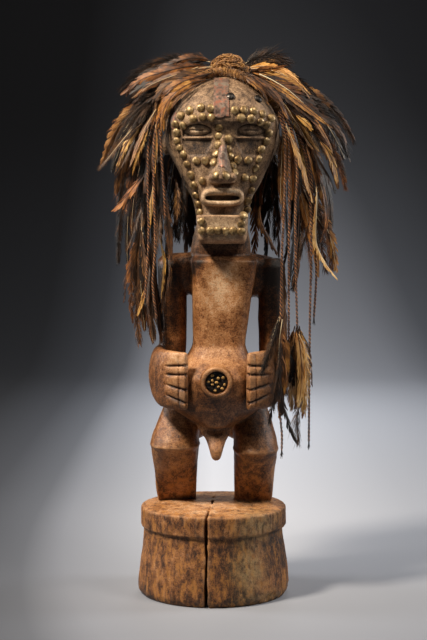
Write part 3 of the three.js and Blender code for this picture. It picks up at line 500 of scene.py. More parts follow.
# The block behind the lips, which fills the ring from behind.
def lipBlock(sides=64):
    turn = turns(sides, 0.5)[None, :]
    across, up = superellipse(turn, 3.2)
    stations = np.array([[-50, 1.0], [-70, 1.0], [-73, 0.97], [-75, 0.86]])
    y, size = stations[:, :1], stations[:, 1:]
    x = headAxis + across * (mouth["halfWidth"] - 12 * (1 - size)) * 0.99
    z = mouth["z"] + up * mouth["halfHeight"] * size
    return closedSkin(np.stack([x, y + 0 * across, z], -1))


figureForms = [levelForm(form) for form in figureRows if form != "base"]
figureForms += [
    levelForm("base", sides=240),
    lipRing(),
    lipBlock(),
    limbForm(shoulders),
    limbForm(forearm),
    limbForm(otherForearm),
    ballForm((headAxis - 74, 4, 605), (7, 15, 15)),
    ballForm((headAxis + 74, 4, 605), (6, 15, 15)),
    ballForm((-27, 32, 236), (30, 26, 32)),
    ballForm((34, 30, 236), (30, 26, 32)),
    ballForm((headAxis - 11.5, -83, 560), (7, 8.5, 5.8)),
    ballForm((headAxis + 11.5, -83, 560), (7, 8.5, 5.8)),
    frontForm(navel["place"], navel["rim"]),
]

# The splits: each is a wedge that wanders a little as it runs.
splits = {
    "baseFront": {"low": -3, "high": 128, "mouth": (-11, -112), "tip": (-2, -22), "width": 5},
    "baseTop": {"low": 112, "high": 128, "mouth": (-2, -26), "tip": (3, 112), "width": 3},
}


# A wedge between two heights: an outline from its wide mouth to its thin tip on every level, shifted
# sideways by lumps of 24 and 7 mm so that its walls are torn and not sawn.
def wedge(low, high, mouth, tip, width, thin=1.2, count=40):
    levels = np.linspace(low, high, int((high - low) / 1.6) + 2)[:, None]
    share = np.linspace(0, 1, count)[None, :]
    start, end = np.array(mouth, float), np.array(tip, float)
    run = unit(end - start)
    middle = start + (end - start) * share[..., None] + 0 * levels[..., None]
    half = (width + (thin - width) * share) / 2 + 0 * levels
    place = np.concatenate([middle, levels[..., None] + 0 * share[..., None]], -1)
    drift = 0.7 * lumps(place, 24, 5) + 0.35 * lumps(place, 7, 6)
    rough = half * (1 + 0.3 * lumps(place, 9, 7)) + 0.1
    aside = np.array([run[1], -run[0]])
    one = middle + aside * (drift + rough)[..., None]
    other = middle + aside * (drift - rough)[..., None]
    outline = np.concatenate([one, other[:, ::-1]], 1)
    heights = np.broadcast_to(levels, outline.shape[:2])[..., None]
    return closedSkin(np.concatenate([outline, heights], -1))


# A thin blade that cuts a check into the wood: it follows points on the surface and reaches a few
# millimetres in along a given way, narrowing to nothing at both ends and at its foot.
def checkCut(points, way, width=1.1, deep=5.0):
    curve, _ = evenly(curveThrough(points, 12), 1.5)
    way = unit(np.array(way, float))
    along, side, _ = frameAlong(curve, way)
    share = np.linspace(0, 1, len(curve))
    opening = (0.25 + np.sin(share * math.pi) ** 0.6) * width / 2
    curve = curve + side * (0.6 * lumps(curve, 6, 8))[:, None]
    corners = np.array([[-1, -3], [1, -3], [0.8, 0.4 * deep], [0.1, deep], [-0.1, deep], [-0.8, 0.4 * deep]])
    rings = (curve[:, None] + side[:, None] * (opening[:, None] * corners[:, 0])[..., None]
             + way * corners[:, 1][None, :, None])
    return closedSkin(rings)


# Points on the face for a cut, from places aside of the head's axis and heights.
def onFace(places):
    places = np.array(places, float)
    y = faceFront(places[:, 0], places[:, 1])
    return np.stack([headAxis + places[:, 0], y, places[:, 1]], -1)


cuts = [wedge(**split) for split in splits.values()]
slotTurn = turns(48, 0.5)[None, :]
slotAcross, slotUp = superellipse(slotTurn, 3.2)
slotY = np.array([[-90.0], [-80.0], [-74.0], [-69.0]])
slotSize = np.array([[1.12], [1.05], [1.0], [0.9]])
cuts.append(closedSkin(np.stack([
    headAxis + slotAcross * mouth["slotHalf"] * (1 + (slotSize - 1) * 0.3),
    slotY + 0 * slotAcross,
    mouth["z"] - 1 + slotUp * mouth["slotRise"] * slotSize], -1)))
cuts.append(frontForm(navel["place"], navel["hole"]))
cuts += [
    checkCut(onFace([(3.5, 690), (4.5, 676), (8.5, 660), (9, 645), (7.5, 628)]), (0, 1, -0.3), 1.3),
    checkCut(onFace([(-22, 668), (-17, 664), (-13, 662)]), (0, 1, -0.3), 0.9, 3),
    checkCut(onFace([(-14, 498), (-7, 504), (-1, 509)]), (0, 1, 0), 0.9, 3),
    checkCut(onFace([(0.5, 508), (0.2, 498), (0.3, 484)]), (0, 1, 0), 0.8, 3),
]

fineness = 1.25  # millimetres between points of the carved surface before it is thinned


# Joins the forms into one skin, cuts the splits and hollows, and skins it again evenly.
def roughOut():
    carved = newPiece("carved_figure", *together(figureForms))
    cutter = newPiece("cutter", *together(cuts))
    skin = carved.modifiers.new("skin", "REMESH")
    skin.mode, skin.voxel_size = "VOXEL", fineness * 0.001
    settle(carved)
    hollow = carved.modifiers.new("hollow", "BOOLEAN")
    hollow.object, hollow.operation, hollow.solver = cutter, "DIFFERENCE", "MANIFOLD"
    settle(carved)
    bpy.data.objects.remove(cutter)
    skin = carved.modifiers.new("skin", "REMESH")
    skin.mode, skin.voxel_size = "VOXEL", fineness * 0.001
    return settle(carved)


# A mesh's points in millimetres, its normals and its edges.
def arraysOf(mesh):
    count = len(mesh.vertices)
    points, normals = np.empty(count * 3, np.float32), np.empty(count * 3, np.float32)
    mesh.vertices.foreach_get("co", points)
    mesh.vertex_normals.foreach_get("vector", normals)
    edges = np.empty(len(mesh.edges) * 2, np.int32)
    mesh.edges.foreach_get("vertices", edges)
    return points.reshape(-1, 3) * 1000.0, normals.reshape(-1, 3), edges.reshape(-1, 2)


# Each point's neighbours averaged: the sum over the edges divided by how many there are.
def neighbourMean(values, edges):
    count = len(values)
    number = np.bincount(edges.ravel(), minlength=count)
    columns = []
    for k in range(values.shape[1]):
        total = np.bincount(edges[:, 0], values[edges[:, 1], k], count)
        total += np.bincount(edges[:, 1], values[edges[:, 0], k], count)
        columns.append(total / np.maximum(number, 1))
    return np.stack(columns, -1)


# How hollow the surface is about each point: how far the neighbours' mean stands out along the
# normal, averaged over a few rounds. Above nought is a hollow, below is an edge.
def hollowness(points, normals, edges, rounds):
    value = np.einsum("ij,ij->i", neighbourMean(points, edges) - points, normals)[:, None]
    for _ in range(rounds):
        value = 0.5 * value + 0.5 * neighbourMean(value, edges)
    return value[:, 0]


eyes = {"left": -32.6, "right": 37.2, "z": 620.5, "half": 19.5, "arch": 9.5, "ledge": 611.5}
eyeCut = {"recess": 3.0, "ball": 2.8, "lid": 1.2, "line": 1.3, "slit": 2.2, "plane": 2.8}


# How deep the eye and the plane below it are cut at a place aside of the eye's middle. The opening
# lies between an arched upper edge and a straight ledge. In it a ball bulges out with a lid round
# it and a slit across it.
def eyeDepth(aside, z):
    top = eyes["z"] + eyes["arch"] * np.clip(1 - (aside / (eyes["half"] + 1)) ** 2, 0, 1)
    inside = fade(top - z, -0.6, 1.4) * fade(z - eyes["ledge"], -0.2, 1.6)
    inside *= fade(eyes["half"] + 0.5 - np.abs(aside), 0, 3)
    depth = eyeCut["recess"] * inside
    spot = np.sqrt(np.abs(aside / 15) ** 1.7 + ((z - eyes["z"] - 0.2) / 6.0) ** 2)
    depth -= eyeCut["ball"] * np.sqrt(np.clip(1 - (spot / 0.95) ** 2, 0, 1))
    depth -= eyeCut["lid"] * np.exp(-(((spot - 1.02) / 0.1) ** 2)) * inside
    depth += eyeCut["line"] * np.exp(-(((spot - 1.2) / 0.08) ** 2)) * inside
    depth += eyeCut["slit"] * np.exp(-(((z - eyes["z"] - 0.2) / 1.1) ** 2)) * fade(11 - np.abs(aside), 0, 4)
    depth -= 0.2 * np.exp(-(((z - eyes["ledge"] + 0.6) / 1.0) ** 2)) * fade(20 - np.abs(aside), 0, 3)
    wide = 12 + 7.5 * fade(z, 588, 606)
    below = fade(z, 585, 590) * fade(610.4 - z, 0, 2.2) * fade(wide - np.abs(aside), -1, 2.5)
    return depth + eyeCut["plane"] * below


fingers = {"grooves": (21, 9, -11, -28), "slopes": (-0.06, -0.03, 0.22, 0.34), "length": 33, "half": 1.9,
           "depth": 3.6, "nail": 8.6}


# How deep the hand's grooves are: a vee between each two fingers that fades towards the wrist, a
# line behind the nails, and each finger rounded a little between its grooves.
def handDepth(points, side):
    x = np.where(side < 0, points[:, 0], 2 * bellyAxis - points[:, 0])
    tip, knuckle = np.array([-35.0, -80.0]), np.array([-56.0, -66.0])
    way = unit(tip - knuckle)
    back = -((x - tip[0]) * way[0] + (points[:, 1] - tip[1]) * way[1])
    out = (x - tip[0]) * way[1] - (points[:, 1] - tip[1]) * way[0]
    near = fade(points[:, 2], 250, 258) * fade(336 - points[:, 2], 0, 6) * fade(back, -2.5, -1) * (out > -3)
    depth = np.zeros(len(points))
    for height, slope in zip(fingers["grooves"], fingers["slopes"]):
        off = np.abs(points[:, 2] - (295 + height + slope * back))
        vee = np.clip(1 - off / fingers["half"], 0, 1)
        rounding = np.exp(-((off / 3.4) ** 2)) * 0.8
        fading = fade(fingers["length"] - back, 0, 14)
        depth += (vee * fingers["depth"] + rounding) * fading
    nail = np.abs(back - fingers["nail"])
    onFingers = fade(331 - points[:, 2], 0, 4) * fade(points[:, 2], 262, 266)
    depth += np.clip(1 - nail / 1.2, 0, 1) * 1.6 * onFingers
    return depth * near


# Cuts the finer carving into the skin: the eyes and hands go in along -y or the normal, then the
# tool's facets, the worn lumps and the rough base move it along its normal.
def carve(piece):
    points, normals, edges = arraysOf(piece.data)
    for _ in range(2):
        points = 0.5 * points + 0.5 * neighbourMean(points, edges)
    x, y, z = points.T
    aside = x - headAxis
    facing = (normals[:, 1] < -0.25) & (y < -35)
    face = facing & (z > 580) & (z < 640)
    for middle in (eyes["left"], eyes["right"]):
        near = face & (np.abs(aside - middle) < 24)
        points[near, 1] += eyeDepth(aside[near] - middle, z[near])
    for side, mask in ((-1, (x < -20) & (y < -30)), (1, (x > 30) & (y < -30))):
        near = mask & (z > 248) & (z < 340)
        points[near] -= normals[near] * handDepth(points[near], side)[:, None]
    onBase = fade(132 - z, 0, 4)
    onHead = fade(z, 466, 480)
    onBody = 1 - onBase - onHead
    stretched = points * np.array([1.0, 1.0, 0.35])
    facets = 1 - np.abs(lumps(stretched, 13, 11))
    onLegs = fade(250 - z, 0, 20) * fade(np.abs(x - 3) - 17, 0, 8) * onBody
    move = onBody * (0.55 * lumps(points, 26, 12) + 0.32 * facets + 0.16 * lumps(stretched, 5, 13))
    move += onLegs * (0.55 * (1 - np.abs(lumps(stretched, 19, 31))) + 0.25 * lumps(points, 7, 32))
    knee = z - np.where(x < headAxis, 202.5, 196) - 1.6 * lumps(points, 18, 33)
    chipped = 1 + 0.7 * lumps(points, 6, 34)
    kneeShape = 0.8 * np.exp(-((knee / 1.9) ** 2)) * chipped - 0.5 * np.exp(-(((knee + 6) / 3.2) ** 2))
    move += onLegs * fade(-normals[:, 1], -0.5, 0.3) * kneeShape
    move += onHead * (0.3 * lumps(points, 15, 14) + 0.16 * lumps(points, 5, 15))
    upright = 1 - np.abs(normals[:, 2])
    grainy = points * np.array([1.0, 1.0, 0.16])
    pits = np.clip(lumps(points * np.array([1, 1, 0.5]), 3.2, 16) - 0.45, 0, 1)
    streaked = 0.7 * lumps(grainy, 6, 18) + 0.4 * lumps(grainy, 2.6, 19)
    rough = 0.8 * lumps(points, 30, 17) + upright * streaked
    rough += (1 - upright) * (0.35 * lumps(points, 9, 20) + 0.2 * lumps(points, 3.5, 21)) - 1.5 * pits
    broken = fade(16 - z, 0, 12) * fade(x, 18, 45) * fade(z, 0.2, 2.5) * upright
    move += onBase * rough * fade(z, 1.0, 6) - 5.5 * broken * np.clip(lumps(points, 8, 35) + 0.25, 0, 1)
    moved = (points + normals * move[:, None]) * 0.001
    piece.data.vertices.foreach_set("co", moved.astype(np.float32).ravel())
    piece.data.update()
    return piece


carved = carve(roughOut())
print("carving:", len(carved.data.polygons), "faces before thinning")
thinnedTo = 97000  # four-cornered faces, which makes 194,000 triangles
thin = carved.modifiers.new("thin", "DECIMATE")
thin.ratio = min(1.0, thinnedTo / len(carved.data.polygons))
settle(carved)
flatPoints, flatNormals, flatEdges = arraysOf(carved.data)
hollow = hollowness(flatPoints, flatNormals, flatEdges, 6)
carved.data.attributes.new("hollow", "FLOAT", "POINT").data.foreach_set("value", hollow.astype(np.float32))
carved.data.shade_smooth()
carved.name = "carved_figure"
print("carving:", sum(len(p.vertices) - 2 for p in carved.data.polygons), "triangles, hollow",
      np.percentile(hollow, [2, 50, 98]).round(3))
dress(carved, "wood", "figure")


# Patches that make the wood lighter or darker: the middle of each patch, its reach along x, y and z, and
# how far it moves the tone on the wood's scale of 0 to 1. Many are painted light and shade: painted light on
# the chest, the top of the belly, the hands and the base top, and painted shade on the arms, the shoulders,
# the throat, both sides of the chest, the foot of the belly, the cheeks (partly dark patina too), the right
# thigh and the right shin. The yellowed collar and drum are the wood's own colour; the others only lighten
# or darken it.
wearAndPaintedLight = {
    # painted light on the chest and the top of the belly, painted shade at the foot of the belly
    "chest": ((12, -50, 422), (34, 25, 56), 0.48),
    "belly top": ((-8, -70, 325), (36, 30, 24), 0.27),
    "belly foot": ((4, -75, 262), (60, 30, 22), -0.17),
    # painted shadow of the feathers on the arms, painted light on the tops of the hands
    "left arm": ((-64, -10, 385), (25, 60, 80), -0.28),
    "right arm": ((86, -10, 385), (25, 60, 80), -0.34),
    "left hand": ((-48, -72, 324), (24, 20, 22), 0.3),
    "right hand": ((56, -72, 324), (24, 20, 22), 0.14),
    "lips": ((11.5, -84, 534), (30, 12, 14), 0.5),
    "chin": ((11.5, -87, 492), (34, 14, 18), 0.42),
    # darker cheeks, partly dark patina and partly painted shade under the brows; painted shadow of the chin
    # on the throat
    "left cheek": ((-21, -66, 599), (21, 14, 12), -0.3),
    "right cheek": ((48, -66, 597), (22, 14, 15), -0.32),
    "throat": ((10, -42, 470), (45, 30, 22), -0.24),
    # painted shade on the right thigh and shin, the shoulders and both sides of the chest; the left knee and
    # the waist only lighter or darker
    "right thigh": ((50, -30, 225), (34, 50, 45), -0.12),
    "left knee": ((-62, -30, 196), (12, 40, 8), 0.2),
    "right shin": ((40, 10, 150), (24, 60, 34), -0.1),
    "left shoulder": ((-70, -10, 436), (34, 60, 24), -0.2),
    "right shoulder": ((94, -10, 434), (36, 60, 24), -0.22),
    "left of the chest": ((-27, -50, 442), (15, 30, 24), -0.42),
    "right of the chest": ((50, -50, 446), (11, 20, 20), -0.26),
    "waist": ((18, -50, 372), (16, 14, 10), -0.12),
    "temples": ((11, -50, 600), (90, 40, 70), 0.07),
    "left eyeball": ((-21, -66, 620), (14, 14, 6), 0.2),
    "right eyeball": ((48.5, -66, 620), (14, 14, 6), 0.22),
    "nose": ((11.5, -92, 585), (14, 16, 22), -0.12),
    "right temple": ((52, -50, 655), (26, 30, 26), -0.02),
    # painted light on the base top
    "base top": ((0, 0, 122), (115, 115, 5), 0.4),
    "base right": ((70, -70, 60), (60, 60, 50), -0.1),
    "under the right of the split": ((22, -95, 55), (26, 30, 60), -0.2),
    "yellowed collar": ((58, -75, 106), (26, 34, 16), 0.2),
    "yellowed drum": ((52, -82, 55), (18, 30, 32), 0.15),
    "far right of the drum": ((92, -40, 50), (22, 50, 70), -0.18),
    "foot of the drum": ((0, 0, 2), (150, 150, 12), -0.16),
}
# Where a dry yellow-grey crust lies on the right of the base, in the same form.
crusts = {
    "collar": ((58, -75, 106), (30, 40, 18), 0.9),
    "drum": ((46, -84, 48), (20, 34, 36), 0.95),
    "foot": ((70, -65, 8), (40, 40, 8), 0.5),
}


# The wood's tone at each point: every patch fades from its middle by the exponential of minus the
# squared distance in its own reaches, and the points are first shifted by lumps of 14 mm.
def patchTone(points, patches):
    shifted = points + np.stack([lumps(points, 14, seed) for seed in (22, 23, 24)], -1) * 6
    tone = np.zeros(len(points))
    for middle, reach, amount in patches.values():
        tone += amount * np.exp(-(((shifted - np.array(middle)) / np.array(reach)) ** 2).sum(1))
    return tone


for key, patches in (("wornAndPaintedLight", wearAndPaintedLight), ("crust", crusts)):
    tone = patchTone(flatPoints, patches)
    carved.data.attributes.new(key, "FLOAT", "POINT").data.foreach_set("value", tone.astype(np.float32))

# Hand-carved hardwood with an old oiled patina, from black in the pores through red brown to a dry
# pale buff where it is rubbed and in the painted light. The pale edge colour is rubbed wood and a painted
# highlight at once. The face is greyed by dust. Patches are about 60 mm, specks 2 mm, the grain runs
# upright every 4 mm, and the shins and base have yellow and dark flecks of about 9 mm.
woodMake = {
    "body": [(0.0, "#150c06"), (1.0, "#e3be96"), (0.2, "#422510"), (0.36, "#6d421f"), (0.5, "#925f37"),
             (0.7, "#bb8757"), (0.85, "#d0a077")],
    "head": [(0.0, "#17110b"), (1.0, "#e9d6b8"), (0.2, "#443225"), (0.36, "#6d5640"), (0.5, "#907459"),
             (0.7, "#b79876"), (0.85, "#d2b592")],
    "patchSize": 60, "mottleSize": 8, "speckSize": 1.9, "grainSize": 4.0, "fleckSize": 9,
    "pore": "#1c120b", "edge": "#d3a275", "fleck": "#b67b38", "crust": "#97855c", "evenTone": 0.43,
}


def carvedWood():
    make = woodMake
    material, tree, shader, place = newMaterial("carved_oiled_hardwood")
    height = addNode(tree, "SeparateXYZ", {"Vector": place}, out="Z")
    wornAndPaintedLight, hollow, crust = (addNode(tree, "Attribute", out="Fac", attribute_name=key)
                           for key in ("wornAndPaintedLight", "hollow", "crust"))
    headShare, baseShare, lowShare, notDarkened = (
        addNode(tree, "MapRange", {"Value": value, "From Min": low, "From Max": high})
        for value, low, high in ((height, 0.452, 0.492), (height, 0.134, 0.124), (height, 0.21, 0.17),
                                 (wornAndPaintedLight, -0.2, 0.0)))
    upright, drawn = (addNode(tree, "Mapping", {"Vector": place, "Scale": (1, 1, squeeze)})
                      for squeeze in (0.07, 0.45))
    patches, mottle, specks, grain, flecks = (
        addNode(tree, "TexNoise", {"Vector": where, "Scale": 1000 / make[size], "Detail": detail,
                                   "Roughness": rough, "Distortion": twist})
        for where, size, detail, rough, twist in (
            (place, "patchSize", 8.0, 0.66, 0.4), (place, "mottleSize", 5.0, 0.7, 0.0),
            (place, "speckSize", 3.0, 0.7, 0.0), (upright, "grainSize", 5.0, 0.6, 0.0),
            (drawn, "fleckSize", 6.0, 0.75, 0.0)))
    # the patch tone carries painted light and painted shade as well as the wood's own lighter and darker
    # patches
    tone = addNode(tree, "Math", {0: wornAndPaintedLight, 1: make["evenTone"]})
    for noise, reach in ((patches, 0.2), (mottle, 0.18), (specks, 0.26), (grain, 0.05)):
        swing = addNode(tree, "MapRange", {"Value": noise, "From Min": 0.3, "From Max": 0.7, "To Min": -reach,
                                           "To Max": reach}, clamp=False)
        tone = addNode(tree, "Math", {0: tone, 1: swing})
    body, head = (addNode(tree, "ValToRGB", {"Fac": tone}, make[part]) for part in ("body", "head"))
    mixed = addNode(tree, "Mix", {0: headShare, 6: body, 7: head}, out=2, data_type="RGBA")
    poreShare = addNode(tree, "MapRange", {"Value": baseShare, "To Min": 0.55, "To Max": 0.85})
    bare = addNode(tree, "MapRange", {"Value": headShare, "To Min": 1.0, "To Max": 0.5})
    # convex edges take the pale edge colour, rubbed wood and painted highlight at once, only where the
    # patches have not darkened the wood and at half strength on the head
    rubbed = addNode(tree, "Math", {0: notDarkened, 1: bare}, operation="MULTIPLY")
    for value, low, high, least, most, times, colour in (
            (flecks, 0.5, 0.6, 0.0, 0.66, lowShare, "fleck"),
            (mottle, 0.36, 0.56, 0.15, 0.75, crust, "crust"),
            (flecks, 0.47, 0.38, 0.0, 0.68, lowShare, "pore"),
            (specks, 0.57, 0.66, 0.0, 1.0, poreShare, "pore"),
            (hollow, 0.015, 0.17, 0.0, 0.8, 1.0, "pore"), (hollow, -0.05, -0.2, 0.0, 0.5, rubbed, "edge")):
        share = addNode(tree, "MapRange", {"Value": value, "From Min": low, "From Max": high, "To Min": least,
                                           "To Max": most})
        share = addNode(tree, "Math", {0: share, 1: times}, operation="MULTIPLY")
        mixed = addNode(tree, "Mix", {0: share, 6: mixed, 7: make[colour]}, out=2, data_type="RGBA")
    gloss = addNode(tree, "MapRange", {"Value": patches, "From Min": 0.35, "From Max": 0.65,
                                       "To Min": 0.58, "To Max": 0.36})
    dusty = addNode(tree, "Math", {0: headShare, 1: baseShare})
    gloss = addNode(tree, "Mix", {0: dusty, 2: gloss, 3: 0.66})
    bump = addNode(tree, "Bump", {"Height": mottle, "Strength": 0.5, "Distance": 0.0016})
    bump = addNode(tree, "Bump", {"Height": specks, "Strength": 0.6, "Distance": 0.0008, "Normal": bump})
    setSockets(tree, shader, {"Base Color": mixed, "Roughness": gloss, "Normal": bump, "IOR": 1.48})
    return material


carved.data.materials.clear()
carved.data.materials.append(carvedWood())


# Tubes along many curves at once. Curves are strands by points by xyz and radii are strands by points.
# Each ring of sides is turned about its curve, and the last point of each end closes it.
def manyTubes(curves, radii, sides, hint=(0.31, 0.9, 0.23)):
    count, length = curves.shape[:2]
    along = unit(np.gradient(curves, axis=1))
    side = unit(np.cross(along, np.array(hint)))
    face = np.cross(side, along)
    turn = turns(sides)
    around = np.cos(turn)[:, None] * side[:, :, None] + np.sin(turn)[:, None] * face[:, :, None]
    rings = curves[:, :, None] + around * radii[:, :, None, None]
    ends = curves[:, [0, -1]]
    points = np.concatenate([rings.reshape(count, -1, 3), ends], 1)
    ring, spoke = np.meshgrid(np.arange(length - 1), np.arange(sides), indexing="ij")
    after = (spoke + 1) % sides
    quads = np.stack([ring * sides + spoke, (ring + 1) * sides + spoke, (ring + 1) * sides + after,
                      ring * sides + after], -1).reshape(-1, 4)
    edge, nextEdge, last = np.arange(sides), (np.arange(sides) + 1) % sides, (length - 1) * sides
    caps = np.concatenate([np.stack([edge, nextEdge, np.full(sides, length * sides)], -1),
                           np.stack([last + nextEdge, last + edge, np.full(sides, length * sides + 1)], -1)])
    shift = (np.arange(count) * (length * sides + 2))[:, None, None]
    faces = [(quads[None] + shift).reshape(-1, 4), (caps[None] + shift).reshape(-1, 3)]
    a, b, c = (points.reshape(-1, 3)[faces[0][:, k]] for k in range(3))
    middle = np.repeat(curves[:, :-1].reshape(-1, 3), sides, axis=0)
    if (np.cross(b - a, c - a) * (a - middle)).sum() < 0:
        faces = [rows[:, ::-1] for rows in faces]
    return points.reshape(-1, 3), faces


# The brass tacks: low domes driven into the face. Places are how far aside of the
# head's axis they sit and how high.
tackRows = {
    "jaw_tacks_left": [(-60.4, 629), (-58.8, 618), (-58.8, 607), (-55.5, 598), (-50.5, 589.5), (-45.5, 577),
                       (-40.5, 563.5), (-36.7, 550), (-33.8, 537), (-30.2, 525.5), (-27.9, 514.5),
                       (-27.2, 503),
                       (-26.7, 491)],
    "chin_tacks": [(-15.5, 491), (-5.6, 491), (4.9, 490), (13.9, 490.6)],
    "jaw_tacks_right": [(24.4, 490), (24.4, 499.5), (26.4, 509), (31, 519), (31.9, 530), (36.9, 543.5),
                        (39.4, 557.7), (43.2, 571.8), (47.7, 583.2), (51, 596), (57.7, 607), (60.3, 617.6),
                        (57.5, 628)],
    "brow_tacks_left_upper": [(-53.3, 639.5), (-42.6, 645.8), (-28, 649.2), (-15.3, 648)],
    "brow_tacks_left_lower": [(-50.5, 627), (-37.8, 635), (-26, 637), (-14.2, 636)],
    "brow_tacks_right_upper": [(16, 645.5), (27.7, 646), (40.5, 645), (51.8, 641.3), (62.5, 636)],
    "brow_tacks_right_lower": [(24.4, 635.9), (37.1, 634.9), (49.2, 630.9)],
    "cheek_tacks_left": [(-33.8, 581), (-21.7, 581)],
    "cheek_tacks_right": [(33.5, 581.8), (20.2, 582.6)],
    "nose_tacks_right": [(7.3, 609), (8, 596), (10.1, 586), (12.2, 573.6), (14.4, 565)],
    "bridge_tacks": [(-4.7, 623.8), (-5, 612.4), (-4.7, 601.4), (-6.9, 589), (-9.7, 577.8)],
    "nostril_tack_left": [(-8.3, 562), (4.4, 562)],
    "mouth_tack_left": [(-26.3, 555)],
    "mouth_tack_right": [(28.9, 559.3)],
    "forehead_tack_middle": [(10.2, 663.8)],
    "forehead_tack_right": [(46, 661)],
}
tackMake = {"radius": 5.75, "height": 3.7, "sink": 0.3, "skirt": 4.0, "around": 22, "rings": 8}


# Domes at spots on the face. In its own plane each is a ring of growing radius that rises as the
# square root of one less radius squared, a little dented, on a shallow skirt that goes into the wood.
def tackDomes(places):
    make = tackMake
    places = np.array(places, float)
    count = len(places)
    normal = faceNormal(places[:, 0], places[:, 1], steepest=0.75)
    normal = unit(normal + random.normal(0, 0.06, normal.shape))
    steep = np.linalg.norm(np.cross(normal, faceNormal(places[:, 0], places[:, 1])), axis=1, keepdims=True)
    centre = onFace(places) - normal * (make["sink"] - 6.0 * steep)
    side = unit(np.cross(normal, [0.0, 0.0, 1.0]))
    up = np.cross(side, normal)
    share = np.sin(np.linspace(1, 0.06, make["rings"]) * math.pi / 2)
    radius = np.concatenate([[0.72, 1.02], share])
    rise = np.concatenate([[-make["skirt"] / make["height"], 0.1], 0.16 + 0.84 * np.sqrt(1 - share**2)])
    turn = turns(make["around"])
    size = make["radius"] * random.uniform(0.92, 1.05, count)
    around = np.cos(turn)[:, None] * side[:, None] + np.sin(turn)[:, None] * up[:, None]
    shells = []
    for k in range(count):
        wobble = 1 + 0.03 * lumps(around[k] * 4 + k * 9.1, 2.0, 31)
        ring = (centre[k] + radius[:, None, None] * size[k] * around[k][None] * wobble[None, :, None]
                + normal[k] * (rise * make["height"])[:, None, None])
        dent = 0.22 * lumps(ring + k, 3.4, 32)
        shells.append(closedSkin(ring + normal[k] * (dent * (radius < 1)[:, None])[..., None]))
    return shells


# Old metal, dark in the pores and rubbed bright on top: tack heads of cast brass aged to olive gold,
# tacks of forged iron near black, and copper beaten into dull reddish sheets.
def metalOf(name, tones, roughness, metallic, verdigris=None):
    material, tree, shader, place = newMaterial(name)
    rubbed = addNode(tree, "TexNoise", {"Vector": place, "Scale": 160.0, "Detail": 5.0, "Roughness": 0.6})
    colour = addNode(tree, "ValToRGB", {"Fac": rubbed}, list(zip((0.34, 0.5, 0.66), tones)))
    if verdigris:
        bloom = addNode(tree, "TexNoise", {"Vector": place, "Scale": 70.0, "Detail": 4.0})
        bloom = addNode(tree, "MapRange", {"Value": bloom, "From Min": 0.58, "From Max": 0.66, "To Max": 0.8})
        colour = addNode(tree, "Mix", {0: bloom, 6: colour, 7: verdigris}, out=2, data_type="RGBA")
    dull = addNode(tree, "MapRange", {"Value": rubbed, "From Min": 0.35, "From Max": 0.65,
                                      "To Min": roughness + 0.15, "To Max": roughness - 0.08})
    bump = addNode(tree, "Bump", {"Height": rubbed, "Strength": 0.35, "Distance": 0.0004})
    setSockets(tree, shader, {"Base Color": colour, "Roughness": dull, "Normal": bump, "Metallic": metallic})
    return material


# The oxide on old brass and copper hides part of the bare metal, so neither is fully metallic.
agedBrass = metalOf("tarnished_cast_brass", ("#43331f", "#8b7048", "#c6ac7e"), 0.42, 0.45)
darkIron = metalOf("dark_forged_iron", ("#1e1b19", "#3b3734", "#6b6560"), 0.4, 0.9)
beatenCopper = metalOf("tarnished_beaten_copper", ("#463630", "#7d6658", "#a3664f"), 0.58, 0.4, "#857a6c")

for name, places in tackRows.items():
    metal = darkIron if name.startswith("forehead") else agedBrass
    slot = "iron" if metal is darkIron else "brass"
    dress(newPiece("domed_" + name, *together(tackDomes(places)), metal), slot, name)
print("tacks:", sum(len(places) for places in tackRows.values()))


# Beaten copper: a thin sheet laid on the form below it and buckled, its edges torn.
copperSheets = {
    "forehead_copper": {"left": -11, "right": 8.5, "low": 637, "high": 688, "buckle": 1.3},
    "nose_copper": {"left": -4.5, "right": 5.5, "low": 572, "high": 601, "buckle": 0.35},
    "temple_copper": {"left": -68, "right": -60, "low": 622, "high": 645, "buckle": 0.4},
}


# The sheet is a grid of places across and up. Its edges are pulled in by lumps, its face stands off
# the wood by lumps of 9 and 3 mm, and its back is the same grid 0.6 mm further in.
def copperSheet(left, right, low, high, buckle, columns=36, rows=60):
    across = np.linspace(0, 1, columns)[None, :] + np.zeros((rows, 1))
    up = np.linspace(0, 1, rows)[:, None] + np.zeros((1, columns))
    edge = np.stack([across * 30, up * 50, 0 * up + low], -1)
    x = left + (right - left) * across + lumps(edge, 8, 41) * 1.2 * (np.abs(across - 0.5) * 2) ** 3
    z = low + (high - low) * up + lumps(edge, 6, 42) * 2.4 * (np.abs(up - 0.5) * 2) ** 3
    place = np.stack([x, 0 * x, z], -1)
    face = faceFront(x, z)
    normal = faceNormal(x, z)
    lift = 0.7 + buckle * (0.5 + 0.5 * lumps(place, 9, 43)) + 0.3 * buckle * lumps(place, 3, 44)
    outer = np.stack([headAxis + x, face, z], -1) + normal * lift[..., None]
    inner = outer - normal * 0.6
    return closedSkin(np.concatenate([outer, inner[:, ::-1]], 1))


for name, sheet in copperSheets.items():
    dress(newPiece("beaten_" + name, *copperSheet(**sheet), beatenCopper), "copper", name)


# The charge in the navel: black resin, lumpy and glossy, with golden seeds pressed into it.
charge = {"radius": 14.6, "height": 8.4, "seeds": 11, "seed": (2.3, 1.7)}


